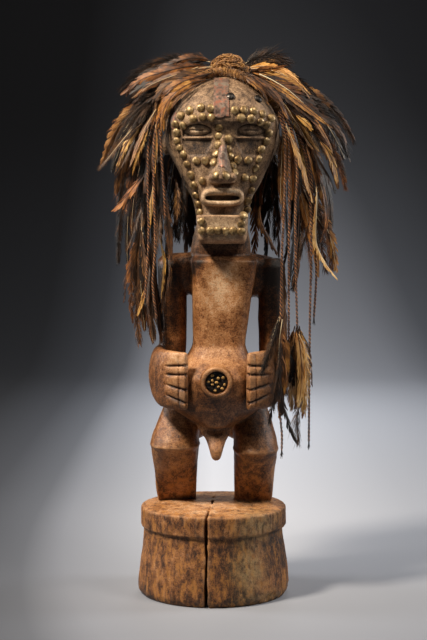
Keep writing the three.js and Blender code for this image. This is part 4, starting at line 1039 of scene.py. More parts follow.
# A low dome of resin: rings of growing radius, raised by lumps of 5 and 2 mm.
def resinPlug(sides=64, rings=26):
    radius = np.concatenate([[0.6, 1.0, 1.0], np.linspace(0.97, 0.02, rings)])[:, None]
    height = charge["height"]
    ahead = np.concatenate([[0, 0.2, height - 2.2], np.full(rings, height - 1.6)])[:, None]
    turn = turns(sides)[None, :]
    x, z = radius * charge["radius"] * np.cos(turn), radius * charge["radius"] * np.sin(turn)
    back = navel["place"][1] - navel["proud"] + navel["depth"]
    place = np.stack([x, 0 * x, z], -1)
    rise = ahead + (radius < 0.98) * (1.0 * lumps(place, 4.6, 51) + 0.5 * lumps(place, 2.1, 52))
    return closedSkin(np.stack([navel["place"][0] + x, back - rise, navel["place"][2] + z], -1))


seedShells = []
for k in range(charge["seeds"]):
    ring = 0 if k == 0 else charge["radius"] * (0.42 if k < 5 else 0.74)
    turn = k * 2.4 + 0.3
    x, y, z = navel["place"]
    seedLong, wide = charge["seed"]
    radii = (seedLong * random.uniform(0.8, 1.1), wide, wide * random.uniform(0.9, 1.3))
    seedShells.append(ballForm((x + ring * math.cos(turn), y + 1.2, z + ring * math.sin(turn)), radii, 14, 9))


# A coat whose tone follows one noise, and its relief too where it has any: glossy brittle resin, or
# the dry husk of a seed.
def speckledCoat(name, scale, detail, stops, roughness, relief=0.0):
    material, tree, shader, place = newMaterial(name)
    noise = addNode(tree, "TexNoise", {"Vector": place, "Scale": scale, "Detail": detail})
    colour = addNode(tree, "ValToRGB", {"Fac": noise}, stops)
    setSockets(tree, shader, {"Base Color": colour, "Roughness": roughness})
    if relief:
        bump = addNode(tree, "Bump", {"Height": noise, "Strength": relief, "Distance": 0.0008})
        setSockets(tree, shader, {"Normal": bump})
    return material


resin = speckledCoat("black_resin", 380.0, 4.0, [(0.4, "#0d0a08"), (0.7, "#2c2119")], 0.36, 0.6)
seedCoat = speckledCoat("dry_seed_husk", 500.0, 3.0, [(0.35, "#6b4a22"), (0.6, "#c49a56")], 0.45)
dress(newPiece("resin_plug", *resinPlug(), resin), "resin", "navel_charge")
dress(newPiece("pressed_seeds", *together(seedShells), seedCoat), "resin")


# Plant fibre and cord: two looks of the same bast. Fibre is a curly ochre tangle, cord is spun tighter
# and browner, with painted shade in the grooves where the plies sink towards the middle; the frayed
# strands take that dark tone all over.
def bastFibre(name, dark, middle, bright, strand=1.2, paintedGrooveShade=False):
    material, tree, shader, place = newMaterial(name)
    tone = addNode(tree, "TexNoise", {"Vector": place, "Scale": 90.0, "Detail": 4.0})
    hair = addNode(tree, "TexNoise", {"Vector": place, "Scale": 1000 / strand, "Detail": 3.0,
                                      "Roughness": 0.7})
    both = addNode(tree, "Mix", {0: 0.5, 2: tone, 3: hair})
    colour = addNode(tree, "ValToRGB", {"Fac": both}, [(0.36, dark), (0.5, middle), (0.64, bright)])
    if paintedGrooveShade:
        proud = addNode(tree, "Attribute", out="Fac", attribute_name="proud")
        # painted shade in the grooves between the plies: the dark tone where a point lies near the cord's
        # middle
        groove = addNode(tree, "MapRange", {"Value": proud, "From Min": 0.94, "From Max": 0.72})
        colour = addNode(tree, "Mix", {0: groove, 6: colour, 7: dark}, out=2, data_type="RGBA")
    bump = addNode(tree, "Bump", {"Height": hair, "Strength": 0.5, "Distance": 0.0004})
    setSockets(tree, shader, {"Base Color": colour, "Normal": bump, "Roughness": 0.82, "Sheen Weight": 0.2})
    return material


knotFibre = bastFibre("curly_bast_fibre", "#3a240f", "#85592a", "#c4924c")
cordFibre = bastFibre("spun_bast_cord", "#1c0e07", "#94582b", "#d89c62", paintedGrooveShade=True)
for piece, fray, _, _ in madeCords.values():
    piece.data.materials.append(cordFibre)
    fray.data.materials.append(cordFibre)

crownKnot = {"place": (19.5, -12, 705.5), "size": (22, 17, 15.5), "strands": 150, "thick": 0.75}
band = {"front": 693, "side": 652, "back": 622, "out": 6.2, "ply": 2.7, "strands": 150}


# Strands that wander over a ball. A heading drifts by summed random steps, so each strand curls, and
# the distance from the middle swells and dips by sines.
def tangle(place, size, strands, thick, steps=34, seed=3):
    chance = np.random.default_rng(seed)
    start = unit(chance.normal(size=(strands, 3)))
    other = chance.normal(size=(strands, 3))
    other = unit(other - (other * start).sum(1, keepdims=True) * start)
    third = np.cross(start, other)
    t = np.linspace(0, 1, steps)[None, :]
    reach, curl, speed, phase = (chance.uniform(least, most, (strands, 1)) for least, most in
                                 ((1.2, 3.2), (0.12, 0.4), (6, 22), (0, 6.28)))
    turn = reach * t + curl * np.sin(speed * t + phase) * 0.6
    off = curl * np.cos(speed * t + phase)
    radius = chance.uniform(0.7, 1.06, (strands, 1)) + 0.08 * np.sin(speed * 0.7 * t + 2 * phase)
    way = unit(np.cos(turn)[..., None] * start[:, None] + np.sin(turn)[..., None] * other[:, None]
               + off[..., None] * third[:, None])
    curves = np.array(place) + way * radius[..., None] * np.array(size)
    taper = thick * (0.35 + 0.65 * np.sin(np.clip(t + 0.02, 0, 1) * math.pi) ** 0.4)
    return manyTubes(curves, taper * chance.uniform(0.7, 1.3, (strands, 1)), 5)


# A point beside the head's own outline at a height: the superellipse of that level, moved out.
def besideHead(turn, z, out):
    rows = rowsOf("head")
    half, front, back, _, _, _ = smoothThrough(rows[:, 0], rows[:, 1:], np.ravel(z)).T
    along, across = superellipse(np.ravel(turn), 2.6)
    flat = np.stack([across * half, np.where(along > 0, along * front, -along * back)], -1)
    flatOut = unit(flat)
    point = np.concatenate([np.array([headAxis, 0.0]) + flat, np.ravel(z)[:, None]], 1)
    rise = fade(np.ravel(z), 655, 700)[:, None]
    normal = unit(np.concatenate([flatOut * (1 - 0.7 * rise), rise], 1))
    return point + normal * out, normal


# The middle of the band: round the head, high over the forehead and low behind.
def bandMiddle(count):
    turn = np.linspace(0, 2 * math.pi, count, endpoint=False)
    lean = np.cos(turn)
    z = band["side"] + lean * np.where(lean > 0, band["front"] - band["side"], band["side"] - band["back"])
    return besideHead(turn, z, band["out"])


# Three plies wound round the band's middle, then loose strands that wrap round and round it.
def bandRope():
    middle, out = bandMiddle(360)
    along = unit(np.roll(middle, -1, axis=0) - np.roll(middle, 1, axis=0))
    up = np.cross(along, out)
    turn = turns(360)
    curves, radii = [], []
    for ply in range(3):
        angle = 34 * turn + ply * 2 * math.pi / 3
        swell = 1 + 0.15 * lumps(middle, 12, 61 + ply)
        offset = np.cos(angle)[:, None] * out + np.sin(angle)[:, None] * up
        curve = middle + band["ply"] * offset * swell[:, None]
        curves.append(np.vstack([curve, curve[:2]]))
        radii.append(np.concatenate([swell, swell[:2]]) * band["ply"] * 0.95)
    thick = manyTubes(np.array(curves), np.array(radii), 10)
    chance = np.random.default_rng(8)
    steps, strands = 40, band["strands"]
    start = chance.integers(0, 360, strands)
    spread = chance.integers(8, 26, strands)
    index = (start[:, None] + np.linspace(0, 1, steps)[None] * spread[:, None]) % 360
    low = index.astype(int)
    spin = chance.uniform(5, 26, (strands, 1)) * np.linspace(0, 1, steps)[None]
    spin = spin + chance.uniform(0, 6.28, (strands, 1))
    far = chance.uniform(5.0, 6.6, (strands, 1)) * (1 + 0.12 * np.sin(3 * spin))
    offset = out[low] * np.cos(spin)[..., None] + up[low] * np.sin(spin)[..., None]
    curves = middle[low] + offset * far[..., None]
    curves += along[low] * ((index - low) * 1.4)[..., None]
    radii = np.full((strands, steps), 0.55) * chance.uniform(0.6, 1.3, (strands, 1))
    return [thick, manyTubes(curves, radii, 4)]


dress(newPiece("knotted_crown", *together([
    tangle(crownKnot["place"], crownKnot["size"], crownKnot["strands"], crownKnot["thick"]),
    tangle((6, -16, 703), (13, 9, 8), 50, 0.7, seed=4),
    tangle((37, -14, 701), (12, 9, 8), 50, 0.7, seed=5),
    ballForm(crownKnot["place"], (15.5, 13.5, 13.5), 24, 16),
]), knotFibre), "fibre", "crown_knot")
dress(newPiece("knotted_band", *together(bandRope()), knotFibre), "fibre", "head_band")
print("knot and band made")


# The bundles of feathers. Each is tied at its root, bows out over the head and hangs to its tip.
# Across is its spread, front is how far it turns its face forward, half is a feather's half width,
# tone runs from near black through rust to gold, dust greys it, fluff loosens its barbs, and shade
# shifts the tone of its shown feathers.
plumeParts = ("root", "tip", "across", "bow", "up", "front", "count", "half", "tone", "dust", "fluff",
              "shade")
plumes = {
    "feathers_crown_left": ((0, -8, 710), (-118, -10, 668), 54, 12, 9, 0.5, 12, 7.5, 0.56, 0.0, 0.5, -0.16),
    "feathers_brow_left": ((-2, -22, 704), (-78, -34, 606), 36, 22, 14, 0.5, 8, 6, 0.6, 0.1, 0.2, -0.06),
    "feathers_left_high": ((-50, 6, 694), (-114, 2, 626), 44, 8, 8, 0.6, 10, 7.5, 0.52, 0.4, 0.6, -0.08),
    "feathers_left_out": ((-72, 12, 662), (-140, 2, 568), 46, 8, 12, 0.7, 9, 7.5, 0.5, 0.45, 0.6, 0),
    "feathers_left_side": ((-76, -10, 646), (-120, -8, 510), 60, 10, 0, 0.8, 9, 7, 0.58, 0.1, 0.3, 0),
    "feathers_left_front": ((-72, -34, 640), (-84, -30, 500), 34, 4, 0, 0.6, 8, 6.5, 0.4, 0.25, 0.3, 0),
    "feathers_left_back": ((-76, 24, 636), (-110, 22, 440), 62, 12, 0, 0.7, 9, 8, 0.45, 0.2, 0.5, 0),
    "feathers_left_long": ((-78, 40, 630), (-90, 44, 400), 60, 16, 0, 0.4, 9, 8, 0.35, 0.2, 0.4, 0.1),
    "feathers_left_lowest": ((-94, -24, 500), (-84, -28, 335), 40, 4, 0, 0.9, 8, 7.5, 0.5, 0.35, 0.4, 0.08),
    "feathers_behind_left": ((-40, 74, 634), (-56, 96, 440), 84, 10, 0, 0, 10, 9, 0.4, 0.2, 0.3, 0),
    "feathers_behind": ((11, 84, 630), (11, 106, 450), 84, 10, 0, 0, 10, 9, 0.45, 0.2, 0.3, 0),
    "feathers_behind_right": ((62, 74, 634), (78, 96, 440), 84, 10, 0, 0, 10, 9, 0.4, 0.2, 0.3, 0),
    "feathers_crown_back": ((12, 10, 710), (12, 98, 604), 165, 26, 20, 0, 30, 9.5, 0.5, 0.2, 0.3, 0),
    "feathers_crown_right": ((40, 6, 708), (100, 26, 710), 36, 0, 5, 0.5, 8, 7, 0.28, 0.35, 1.0, -0.05),
    "feathers_right_high": ((42, -12, 702), (128, -8, 656), 48, 10, 9, 0.5, 10, 7.5, 0.64, 0.15, 0.4, -0.08),
    "feathers_right_out": ((76, -2, 676), (176, -5, 582), 70, 12, 16, 0.6, 11, 7.5, 0.55, 0.1, 0.3, -0.12),
    "feathers_right_side": ((98, 6, 654), (156, 4, 540), 62, 10, 6, 0.7, 9, 7.5, 0.62, 0.15, 0.3, -0.1),
    "feathers_right_front": ((95, -30, 636), (102, -30, 500), 34, 4, 0, 0.6, 8, 6.5, 0.6, 0.1, 0.2, 0),
    "feathers_right_hang": ((100, 18, 636), (138, 8, 470), 60, 10, 0, 0.7, 9, 7.5, 0.5, 0.15, 0.3, -0.05),
    "feathers_right_low": ((112, -6, 556), (150, -10, 425), 44, 8, 0, 0.8, 7, 7.5, 0.68, 0.1, 0.2, 0),
    "feathers_right_back": ((102, 38, 632), (106, 44, 400), 62, 14, 0, 0.4, 9, 8, 0.35, 0.2, 0.3, 0),
    "tassel_right_long": ((110.5, -46, 366), (104, -44, 228), 36, 0, 0, 1, 8, 8, 0.9, 0.25, 0.5, 0),
    "tassel_right_front": ((88.3, -60, 378), (76, -66, 262), 30, 0, 0, 1, 6, 7, 0.66, 0.55, 0.7, 0),
    "tassel_right_inner": ((99, -52, 332), (95, -54, 284), 20, 0, 0, 1, 4, 6, 0.3, 0.3, 0.5, 0),
}
# The feathers that stand out in front of their bundles: half width, tone, warm from gold 0 to rust 1,
# dust, how loose the barbs are, points along the shaft from root to tip, and sometimes the quill's
# colour, the width of each side of the vane and how much of the quill is bare.
shownFeathers = {
    "feathers_crown_left": [
        (7, 0.74, 0.75, 0.05, 0.25, [(-10, -30, 707), (-39, -33, 704), (-65, -31, 698), (-95, -28, 688),
         (-121, -25, 670)]),
        (6, 0.62, 0.7, 0.1, 0.6, [(-2, -25, 713), (-23, -23, 717), (-42, -21, 714), (-63, -20, 706),
         (-86, -16, 698)]),
        (4, 0.5, 0.6, 0.2, 0.9, [(-7, -18, 714), (-19, -16, 720), (-33, -15, 721)]),
        (5.5, 0.68, 0.5, 0.1, 0.3, [(-20, -34, 704), (-55, -34, 692), (-84, -31, 680), (-107, -28, 664)],
         {"quill": "horn"}),
    ],
    "feathers_brow_left": [
        (6.5, 0.62, 0.6, 0.1, 0.3, [(-2, -38, 696), (-23, -46, 690), (-48, -48, 680), (-67, -46, 667)]),
        (5, 0.8, 0.6, 0.1, 0.4, [(-4, -42, 688), (-31, -54, 681), (-54, -56, 665), (-65, -54, 646),
         (-68, -50, 628)]),
        (3.6, 0.66, 0.4, 0.3, 0.6, [(-15, -50, 683), (-35, -58, 671), (-49, -58, 658), (-55, -56, 649)]),
        (7, 0.56, 0.1, 0.1, 0.15, [(1, -34, 700), (-23, -39, 696), (-44, -41, 689), (-64, -39, 678),
         (-80, -36, 660)]),
        (5.5, 0.45, 0.2, 0.7, 0.2, [(-3, -38, 696), (-28, -44, 688), (-52, -46, 673), (-69, -43, 653)]),
        (5, 0.72, 0.7, 0.05, 0.2, [(-31, -48, 682), (-52, -51, 668), (-64, -51, 655), (-68, -48, 632)],
         {"quill": "dark"}),
    ],
    "feathers_left_high": [
        (9, 0.42, 0.6, 0.95, 1, [(-60, -25, 679), (-86, -24, 663), (-104, -21, 648), (-120, -18, 633)]),
        (8, 0.5, 0.5, 0.9, 0.9, [(-68, -27, 672), (-88, -25, 654), (-103, -22, 634), (-112, -19, 616)]),
    ],
    "feathers_left_out": [
        (7, 0.46, 0.4, 0.45, 0.75, [(-107, -22, 624), (-122, -21, 607), (-136, -19, 590),
         (-149, -18, 575)], {"quill": "horn"}),
        (6.5, 0.46, 0.4, 0.65, 0.9, [(-103, -21, 612), (-112, -21, 595), (-120, -19, 578)]),
    ],
    "feathers_left_side": [
        (5, 0.62, 0.6, 0.5, 0.15, [(-75, -37, 649), (-86, -37, 631), (-98, -36, 608), (-110, -33, 575)],
         {"quill": "horn"}),
        (7, 0.38, 0.5, 0.6, 0.3, [(-79, -36, 614), (-82, -36, 589), (-87, -34, 567), (-91, -33, 541)]),
        (3.8, 0.78, 0.1, 0.05, 0.7, [(-84, -40, 627), (-94, -38, 602), (-101, -37, 584), (-106, -34, 566)]),
        (7.5, 0.56, 0.8, 0.05, 0.45, [(-88, -28, 569), (-101, -27, 553), (-116, -25, 534), (-132, -24, 517)]),
    ],
    "feathers_left_front": [
        (7.5, 0.36, 0.5, 0.4, 0.5, [(-68, -44, 559), (-62, -46, 517), (-56, -44, 454)]),
        (6.5, 0.18, 0.5, 0.1, 0.9, [(-40, -34, 570), (-40, -36, 530), (-46, -36, 478)]),
        (5.5, 0.6, 0.3, 0.5, 1, [(-49, -38, 557), (-47, -40, 530), (-50, -40, 502)]),
        (2.6, 0.85, 0.8, 0, 0.1, [(-75, -44, 629), (-75, -44, 609), (-76, -43, 585), (-78, -41, 555)],
         {"quill": "horn"}),
        (3.8, 0.92, 0.3, 0, 0.1, [(-79, -40, 549), (-82, -40, 524), (-84, -38, 494)], {"quill": "horn"}),
        (8, 0.62, 0.5, 0.95, 1, [(-70, -44, 515), (-73, -44, 491), (-77, -43, 467)]),
    ],
    "feathers_left_back": [
        (7, 0.48, 0.3, 0.2, 0.9, [(-90, -19, 536), (-99, -19, 512), (-106, -18, 489), (-114, -16, 467)]),
        (4.5, 0.42, 0.9, 0.1, 0.8, [(-94, -16, 483), (-109, -16, 455), (-116, -16, 427), (-119, -16, 397)]),
    ],
    "feathers_left_lowest": [
        (3, 0.82, 0.2, 0, 0.2, [(-71, -38, 483), (-65, -40, 449), (-69, -40, 401)], {"quill": "horn"}),
        (7, 0.42, 0.6, 0.3, 0.7, [(-63, -34, 478), (-61, -36, 438), (-67, -36, 388)]),
        (7.5, 0.46, 0.3, 0.5, 0.6, [(-96, -30, 496), (-93, -32, 449), (-87, -32, 393)]),
        (6.5, 0.34, 0.8, 0.2, 0.8, [(-84, -36, 449), (-88, -38, 399), (-84, -38, 356)]),
        (7.5, 0.42, 0.5, 0.9, 0.35, [(-79, -34, 422), (-82, -34, 393), (-81, -33, 369), (-79, -31, 346)]),
        (4.2, 0.76, 0.2, 0.1, 0.5, [(-87, -30, 430), (-93, -30, 403), (-101, -28, 378)]),
    ],
    "feathers_crown_right": [
        (3.5, 0.72, 0.3, 0.1, 0.5, [(35, -46, 694), (49, -56, 683), (62, -58, 671), (72, -56, 654)]),
        (4.5, 0.5, 0.7, 0.2, 0.4, [(39, -40, 699), (51, -48, 690), (68, -50, 675), (85, -48, 657)]),
        (9.5, 0.3, 0.5, 0.6, 1, [(39, -7, 708), (57, -2, 718), (77, 3, 723), (99, 7, 713)]),
        (4, 0.66, 0.9, 0.1, 0.4, [(45, -18, 698), (63, -16, 702), (82, -15, 704), (95, -13, 707)]),
    ],
    "feathers_right_high": [
        (12.5, 0.52, 0.95, 0.15, 0.45, [(60, -30, 695), (77, -31, 687), (97, -31, 675), (122, -28, 654)],
         {"quill": "cream", "sides": (1.0, 0.22)}),
        (5, 0.7, 0.15, 0, 0.3, [(61, -33, 690), (85, -34, 677), (106, -34, 662), (130, -31, 644),
         (156, -27, 625)]),
        (4.5, 0.45, 0.2, 0.1, 0.3, [(72, -36, 678), (93, -37, 665), (114, -34, 649), (138, -30, 630)]),
    ],
    "feathers_right_out": [
        (6.5, 0.44, 0.6, 0.25, 0.55, [(120, -27, 655), (139, -25, 643), (155, -24, 633), (169, -22, 617),
         (181, -19, 582)], {"quill": "dark"}),
        (8, 0.86, 0, 0, 0.3, [(138, -28, 611), (150, -27, 596), (158, -25, 579), (164, -22, 557)]),
        (6.5, 0.36, 0.5, 0.1, 0.35, [(130, -30, 597), (141, -30, 578), (152, -28, 559), (161, -25, 542)]),
        (6.5, 0.45, 0.5, 0.85, 1, [(125, -31, 624), (133, -30, 612), (142, -28, 597)]),
    ],
    "feathers_right_front": [
        (5, 0.56, 0.6, 0.3, 0.25, [(49, -38, 695), (68, -43, 680), (83, -44, 664), (97, -44, 637)]),
        (4.6, 0.88, 0.2, 0, 0.3, [(106, -37, 643), (118, -36, 634), (129, -34, 623)]),
        (7, 0.8, 0.35, 0.05, 0.5, [(95, -43, 627), (107, -43, 600), (118, -43, 570), (130, -41, 529)],
         {"quill": "horn", "sides": (0.6, 1.0)}),
        (8, 0.5, 0.3, 0.05, 0.25, [(87, -33, 635), (75, -36, 583), (64, -37, 537), (61, -38, 507),
         (72, -38, 480), (84, -37, 459)], {"bare": 0.62}),
    ],
    "feathers_right_side": [
        (2.8, 0.74, 0.5, 0, 0.3, [(121, -33, 604), (128, -33, 583), (133, -31, 563), (137, -30, 542)]),
    ],
    "feathers_right_low": [
        (6.5, 0.9, 0.25, 0, 0.25, [(136, -27, 548), (136, -27, 524), (135, -27, 497), (136, -27, 474),
         (146, -27, 450), (164, -25, 426)], {"quill": "cream", "sides": (0.5, 1.0)}),
        (5.5, 0.5, 0.9, 0.05, 0.3, [(143, -21, 553), (149, -21, 525), (150, -21, 499), (143, -21, 476)]),
        (6.5, 0.5, 0.5, 0.85, 1, [(126, -28, 501), (120, -28, 478), (113, -27, 455)]),
    ],
    "tassel_right_long": [
        (8.8, 0.84, 0.25, 0.25, 0.45, [(111, -50, 355), (114, -51, 334), (116, -52, 307),
         (115, -52, 283), (112, -52, 261)]),
        (2.6, 0.82, 0.6, 0, 0.1, [(112, -53, 355), (120, -54, 334), (121, -54, 302), (118, -54, 269)],
         {"quill": "horn"}),
        (8, 0.5, 0.5, 0.5, 0.8, [(112, -48, 299), (113, -48, 267), (110, -47, 239), (112, -46, 209)]),
        (3, 0.4, 0.6, 0.1, 0.6, [(114, -46, 360), (126, -44, 333), (129, -44, 309), (131, -42, 284)]),
        (7.5, 0.42, 0.5, 0.6, 0.95, [(108, -48, 343), (98, -50, 320), (94, -50, 298), (96, -50, 277)]),
    ],
    "tassel_right_front": [
        (7.5, 0.3, 0.5, 0.5, 0.95, [(85, -62, 377), (81, -66, 355), (73, -71, 333), (63, -78, 307)]),
        (8, 0.26, 0.5, 0.4, 0.8, [(88, -66, 351), (86, -70, 317), (81, -74, 283), (72, -70, 239)],
         {"sides": (1.0, 0.6)}),
        (6, 0.14, 0.5, 0.2, 0.6, [(87, -62, 308), (89, -62, 275), (97, -60, 242), (110, -56, 211)]),
        (5.5, 0.56, 0.6, 0.85, 0.2, [(92, -50, 449), (93, -50, 413), (94, -52, 376), (96, -54, 339)]),
    ],
}
# How a feather is made, in millimetres: the width of the strips of barbs that hold together, the
# vane's thickness, the shaft's width, how far the outer feathers wrap back, the lift from one layer to
# the next, and the space between the single barbs of a downy feather.
featherMake = {"held": (3.4, 7.5), "thick": 0.32, "shaft": 1.25, "wrap": 150, "layer": 1.8, "down": 0.75}


# The middle of a bundle: a curve from root to tip pulled towards a point beyond its first half, which
# is moved out from the head by the bow and up.
def plumeWay(root, tip, bow, up, share):
    root, tip = np.array(root, float), np.array(tip, float)
    aside = np.array([(root[0] + tip[0]) / 2 - headAxis, (root[1] + tip[1]) / 2, 0])
    over = root + (tip - root) * 0.4 + unit(aside) * bow * 2 + np.array([0, 0, up * 2.0])
    t = share[:, None]
    point = (1 - t) ** 2 * root + 2 * t * (1 - t) * over + t**2 * tip
    along = (1 - t) * (over - root) + t * (tip - over)
    return point, unit(along)


# A feather's shaft. It follows the bundle's way at its own place across the spread, from its start
# to its reach, wavers and curls a little, and turns its face by a twist that grows to the tip.
def shaftOf(plume, place, start, reach, layer, chance):
    make = featherMake
    share = np.linspace(start, reach, 26)
    middle, along = plumeWay(plume["root"], plume["tip"], plume["bow"], plume["up"], share)
    facing = middle - np.array([headAxis, 0, 600.0])
    facing[:, 2] /= 2
    facing = unit(facing) * (1 - plume["front"]) + np.array([0, -1.0, 0]) * plume["front"]
    side = unit(np.cross(along, facing))
    face = np.cross(side, along)
    spread = np.interp(share, [0, 0.34, 0.68, 1], [0.16, 0.7, 0.96, 1.0])
    across = place * plume["across"] * spread
    t = np.linspace(0, 1, len(share))
    waver = chance.normal(0, 1.4) * np.sin(t * chance.uniform(2, 5) + chance.uniform(0, 6))
    curl = chance.normal(-1.0, 3.0) * t**3
    lift = layer * make["layer"] * (0.3 + 0.7 * spread) - across**2 / make["wrap"] + curl
    shaft, length = evenly(middle + side * (across + waver)[:, None] + face * lift[:, None], 2.5)
    even = np.linspace(0, 1, len(shaft))
    hint = np.stack([np.interp(even, t, face[:, k]) for k in range(3)], -1)
    twist = chance.normal(0, 0.3) + chance.normal(0, 0.35) * even**1.5
    along, side, face = frameAlong(shaft, hint)
    side = side * np.cos(twist)[:, None] + face * np.sin(twist)[:, None]
    return shaft, length, along, side, np.cross(side, along)


# A value at places from 0 to 1 along evenly spaced rows.
def alongRows(rows, at):
    where = np.clip(at, 0, 1) * (len(rows) - 1)
    low = np.clip(where.astype(int), 0, len(rows) - 2)
    part = (where - low)[..., None]
    return rows[low] * (1 - part) + rows[low + 1] * part


# How wide a vane is at a place along it, as a share of its half width: it opens quickly from the
# root and closes to the tip, later if it is blunt.
def vaneWidth(at, pointed, bare):
    opening = np.clip((at - bare) / 0.2, 0, 1) ** 0.7
    closing = np.clip((1.0 - at) / (0.22 + 0.5 * pointed), 0, 1) ** (0.5 + 0.35 * pointed)
    return opening * closing


# One side of a closed vane: strips of barbs that hold together. A barb leaves the shaft at its angle,
# bends towards the tip with the square of its length and sinks with it. Most strips hook on to the
# next and make one smooth blade. A loose one narrows, leans and lifts, so that slits open beside it.
def closedVane(line, half, pointed, ragged, hand, bare, chance):
    make = featherMake
    shaft, length, along, side, face = line
    columns, out = 5, np.array([0.0, 0.5, 1.0])
    widths = chance.uniform(*make["held"], int(length / make["held"][0]) + 2)
    first = max(bare, 0.05) * length
    ends = np.concatenate([[first], first + np.cumsum(widths)])
    ends = ends[ends < length * 0.985] / length
    ends = np.append(ends, 0.995)
    strips = len(ends) - 1
    at = ends[:-1, None] + np.diff(ends)[:, None] * np.linspace(0, 1, columns)[None, :]
    middle = at.mean(1, keepdims=True)
    loose = (chance.random((strips, 1)) < 0.08 + 0.55 * ragged).astype(float)
    narrowed = 1 - loose * chance.uniform(0, 0.3, (strips, 1))
    size = half * (0.1 + 0.9 * vaneWidth(at, pointed, bare)) * narrowed
    size = size * np.where(chance.random((strips, 1)) < 0.1 * ragged, 0.55, 1.0)
    angle = np.radians(33 - 16 * at) + loose * chance.normal(0, 0.03 + 0.05 * ragged, (strips, 1))
    reach = (size / np.sin(np.maximum(angle, 0.24)))[..., None] * out
    reach[..., 2] *= chance.uniform(0.9 - 0.12 * ragged, 1.02, at.shape)
    base, ahead = alongRows(shaft, at)[:, :, None], alongRows(along, at)[:, :, None]
    outward, up = alongRows(side, at)[:, :, None] * hand, alongRows(face, at)[:, :, None]
    lean = chance.normal(0, 0.5 + 1.3 * ragged, (strips, 1, 1)) + (middle - at)[..., None] * length * 0.3
    raised = chance.normal(0, 0.25 + 0.9 * ragged, (strips, 1, 1)) * loose[..., None]
    raised = raised + 0.05 * np.linspace(-1, 1, columns)[None, :, None]
    lean = lean * loose[..., None]
    cup = chance.uniform(0.03, 0.12)
    forward = reach * np.cos(angle)[..., None] + 0.05 * reach * out + lean * out**1.6
    rise = 0.2 + raised * out - cup * reach * out
    top = (base + outward * (reach * np.sin(angle)[..., None])[..., None] + ahead * forward[..., None]
           + up * rise[..., None])
    low = top - up * (make["thick"] * (1 - 0.5 * out))[None, None, :, None]
    points = np.stack([top, low], 3)
    grid = np.arange(columns * 6).reshape(columns, 3, 2)
    quads = []
    for k, r in itertools.product(range(columns - 1), range(2)):
        for s in (0, 1):
            quad = [grid[k, r, s], grid[k + 1, r, s], grid[k + 1, r + 1, s], grid[k, r + 1, s]]
            quads.append(quad[::-1] if s else quad)
    for k in range(columns - 1):
        quads.append([grid[k, 0, 1], grid[k + 1, 0, 1], grid[k + 1, 0, 0], grid[k, 0, 0]])
        quads.append([grid[k, 2, 0], grid[k + 1, 2, 0], grid[k + 1, 2, 1], grid[k, 2, 1]])
    for r in range(2):
        quads.append([grid[0, r, 0], grid[0, r + 1, 0], grid[0, r + 1, 1], grid[0, r, 1]])
        quads.append([grid[-1, r, 1], grid[-1, r + 1, 1], grid[-1, r + 1, 0], grid[-1, r, 0]])
    quads = np.array(quads)[None] + (np.arange(strips) * columns * 6)[:, None, None]
    quads = quads.reshape(-1, 4)
    if hand < 0:
        quads = quads[:, ::-1]
    shape = points.shape[:-1]
    tint = chance.normal(0.5, 0.1, (strips, 1, 1, 1)) + np.zeros(shape)
    along = at[..., None, None]
    numbers = [np.broadcast_to(value, shape).ravel()
               for value in (along, out[None, None, :, None], tint, 0.0, along * length * hand)]
    return points.reshape(-1, 3), [quads], np.stack(numbers, -1)


# One side of a downy feather: single soft barbs as thin three-sided hairs that wave as they go out.
def downyVane(line, half, pointed, hand, bare, chance):
    make = featherMake
    shaft, length, along, side, face = line
    count = max(int(length * 0.93 / make["down"]), 20)
    at = np.linspace(max(bare, 0.05), 0.998, count) + chance.normal(0, 0.2 / count, count)
    at = np.clip(at, 0.05, 1.0)
    base, ahead, out, up = (alongRows(rows, at) for rows in (shaft, along, side * hand, face))
    size = half * (0.2 + 0.8 * vaneWidth(at, pointed, bare)) * chance.uniform(0.55, 1.15, count)
    angle = np.maximum(np.radians(42 - 22 * at) + chance.normal(0, 0.13, count), 0.26)
    reach = size / np.sin(angle)
    wave, lift = chance.normal(0, 0.1, count), chance.normal(0, 0.16, count)
    rows = []
    for u in (0.0, 0.4, 0.75, 1.0):
        spot = base + out * (reach * (u * np.sin(angle) + wave * u * (1 - u) * 2))[:, None]
        spot = spot + ahead * (reach * (u * np.cos(angle) + 0.2 * u**2))[:, None]
        rows.append(spot + up * (reach * (lift * u**1.5 - 0.05 * u**2) + 0.2)[:, None])
    rows = np.stack(rows, 1)
    way = rows[:, -1] - rows[:, 0]
    flat = unit(np.cross(up, way))
    wide = np.array([0.3, 0.3, 0.22])[None, :, None]
    points = np.stack([rows[:, :3] + flat[:, None] * wide, rows[:, :3] - flat[:, None] * wide,
                       rows[:, :3] + up[:, None] * 0.2], 2).reshape(count, 9, 3)
    points = np.concatenate([points, rows[:, 3:]], 1)
    quads, ends = [], [[0, 2, 1], [6, 7, 9], [7, 8, 9], [8, 6, 9]]
    for ring in (0, 3):
        quads += [[ring, ring + 1, ring + 4, ring + 3], [ring + 1, ring + 2, ring + 5, ring + 4],
                  [ring + 2, ring, ring + 3, ring + 5]]
    shift = (np.arange(count) * 10)[:, None, None]
    quads, ends = ((np.array(part)[None] + shift).reshape(-1, len(part[0])) for part in (quads, ends))
    if hand > 0:
        quads, ends = quads[:, ::-1], ends[:, ::-1]
    outward = np.tile([0, 0, 0, 0.4, 0.4, 0.4, 0.75, 0.75, 0.75, 1.0], count)
    tint = np.repeat(chance.normal(0.5, 0.14, count), 10)
    numbers = np.stack([np.repeat(at, 10), outward, tint, 0 * tint, np.repeat(at * length, 10) * hand], -1)
    return points.reshape(-1, 3), [quads, ends], numbers


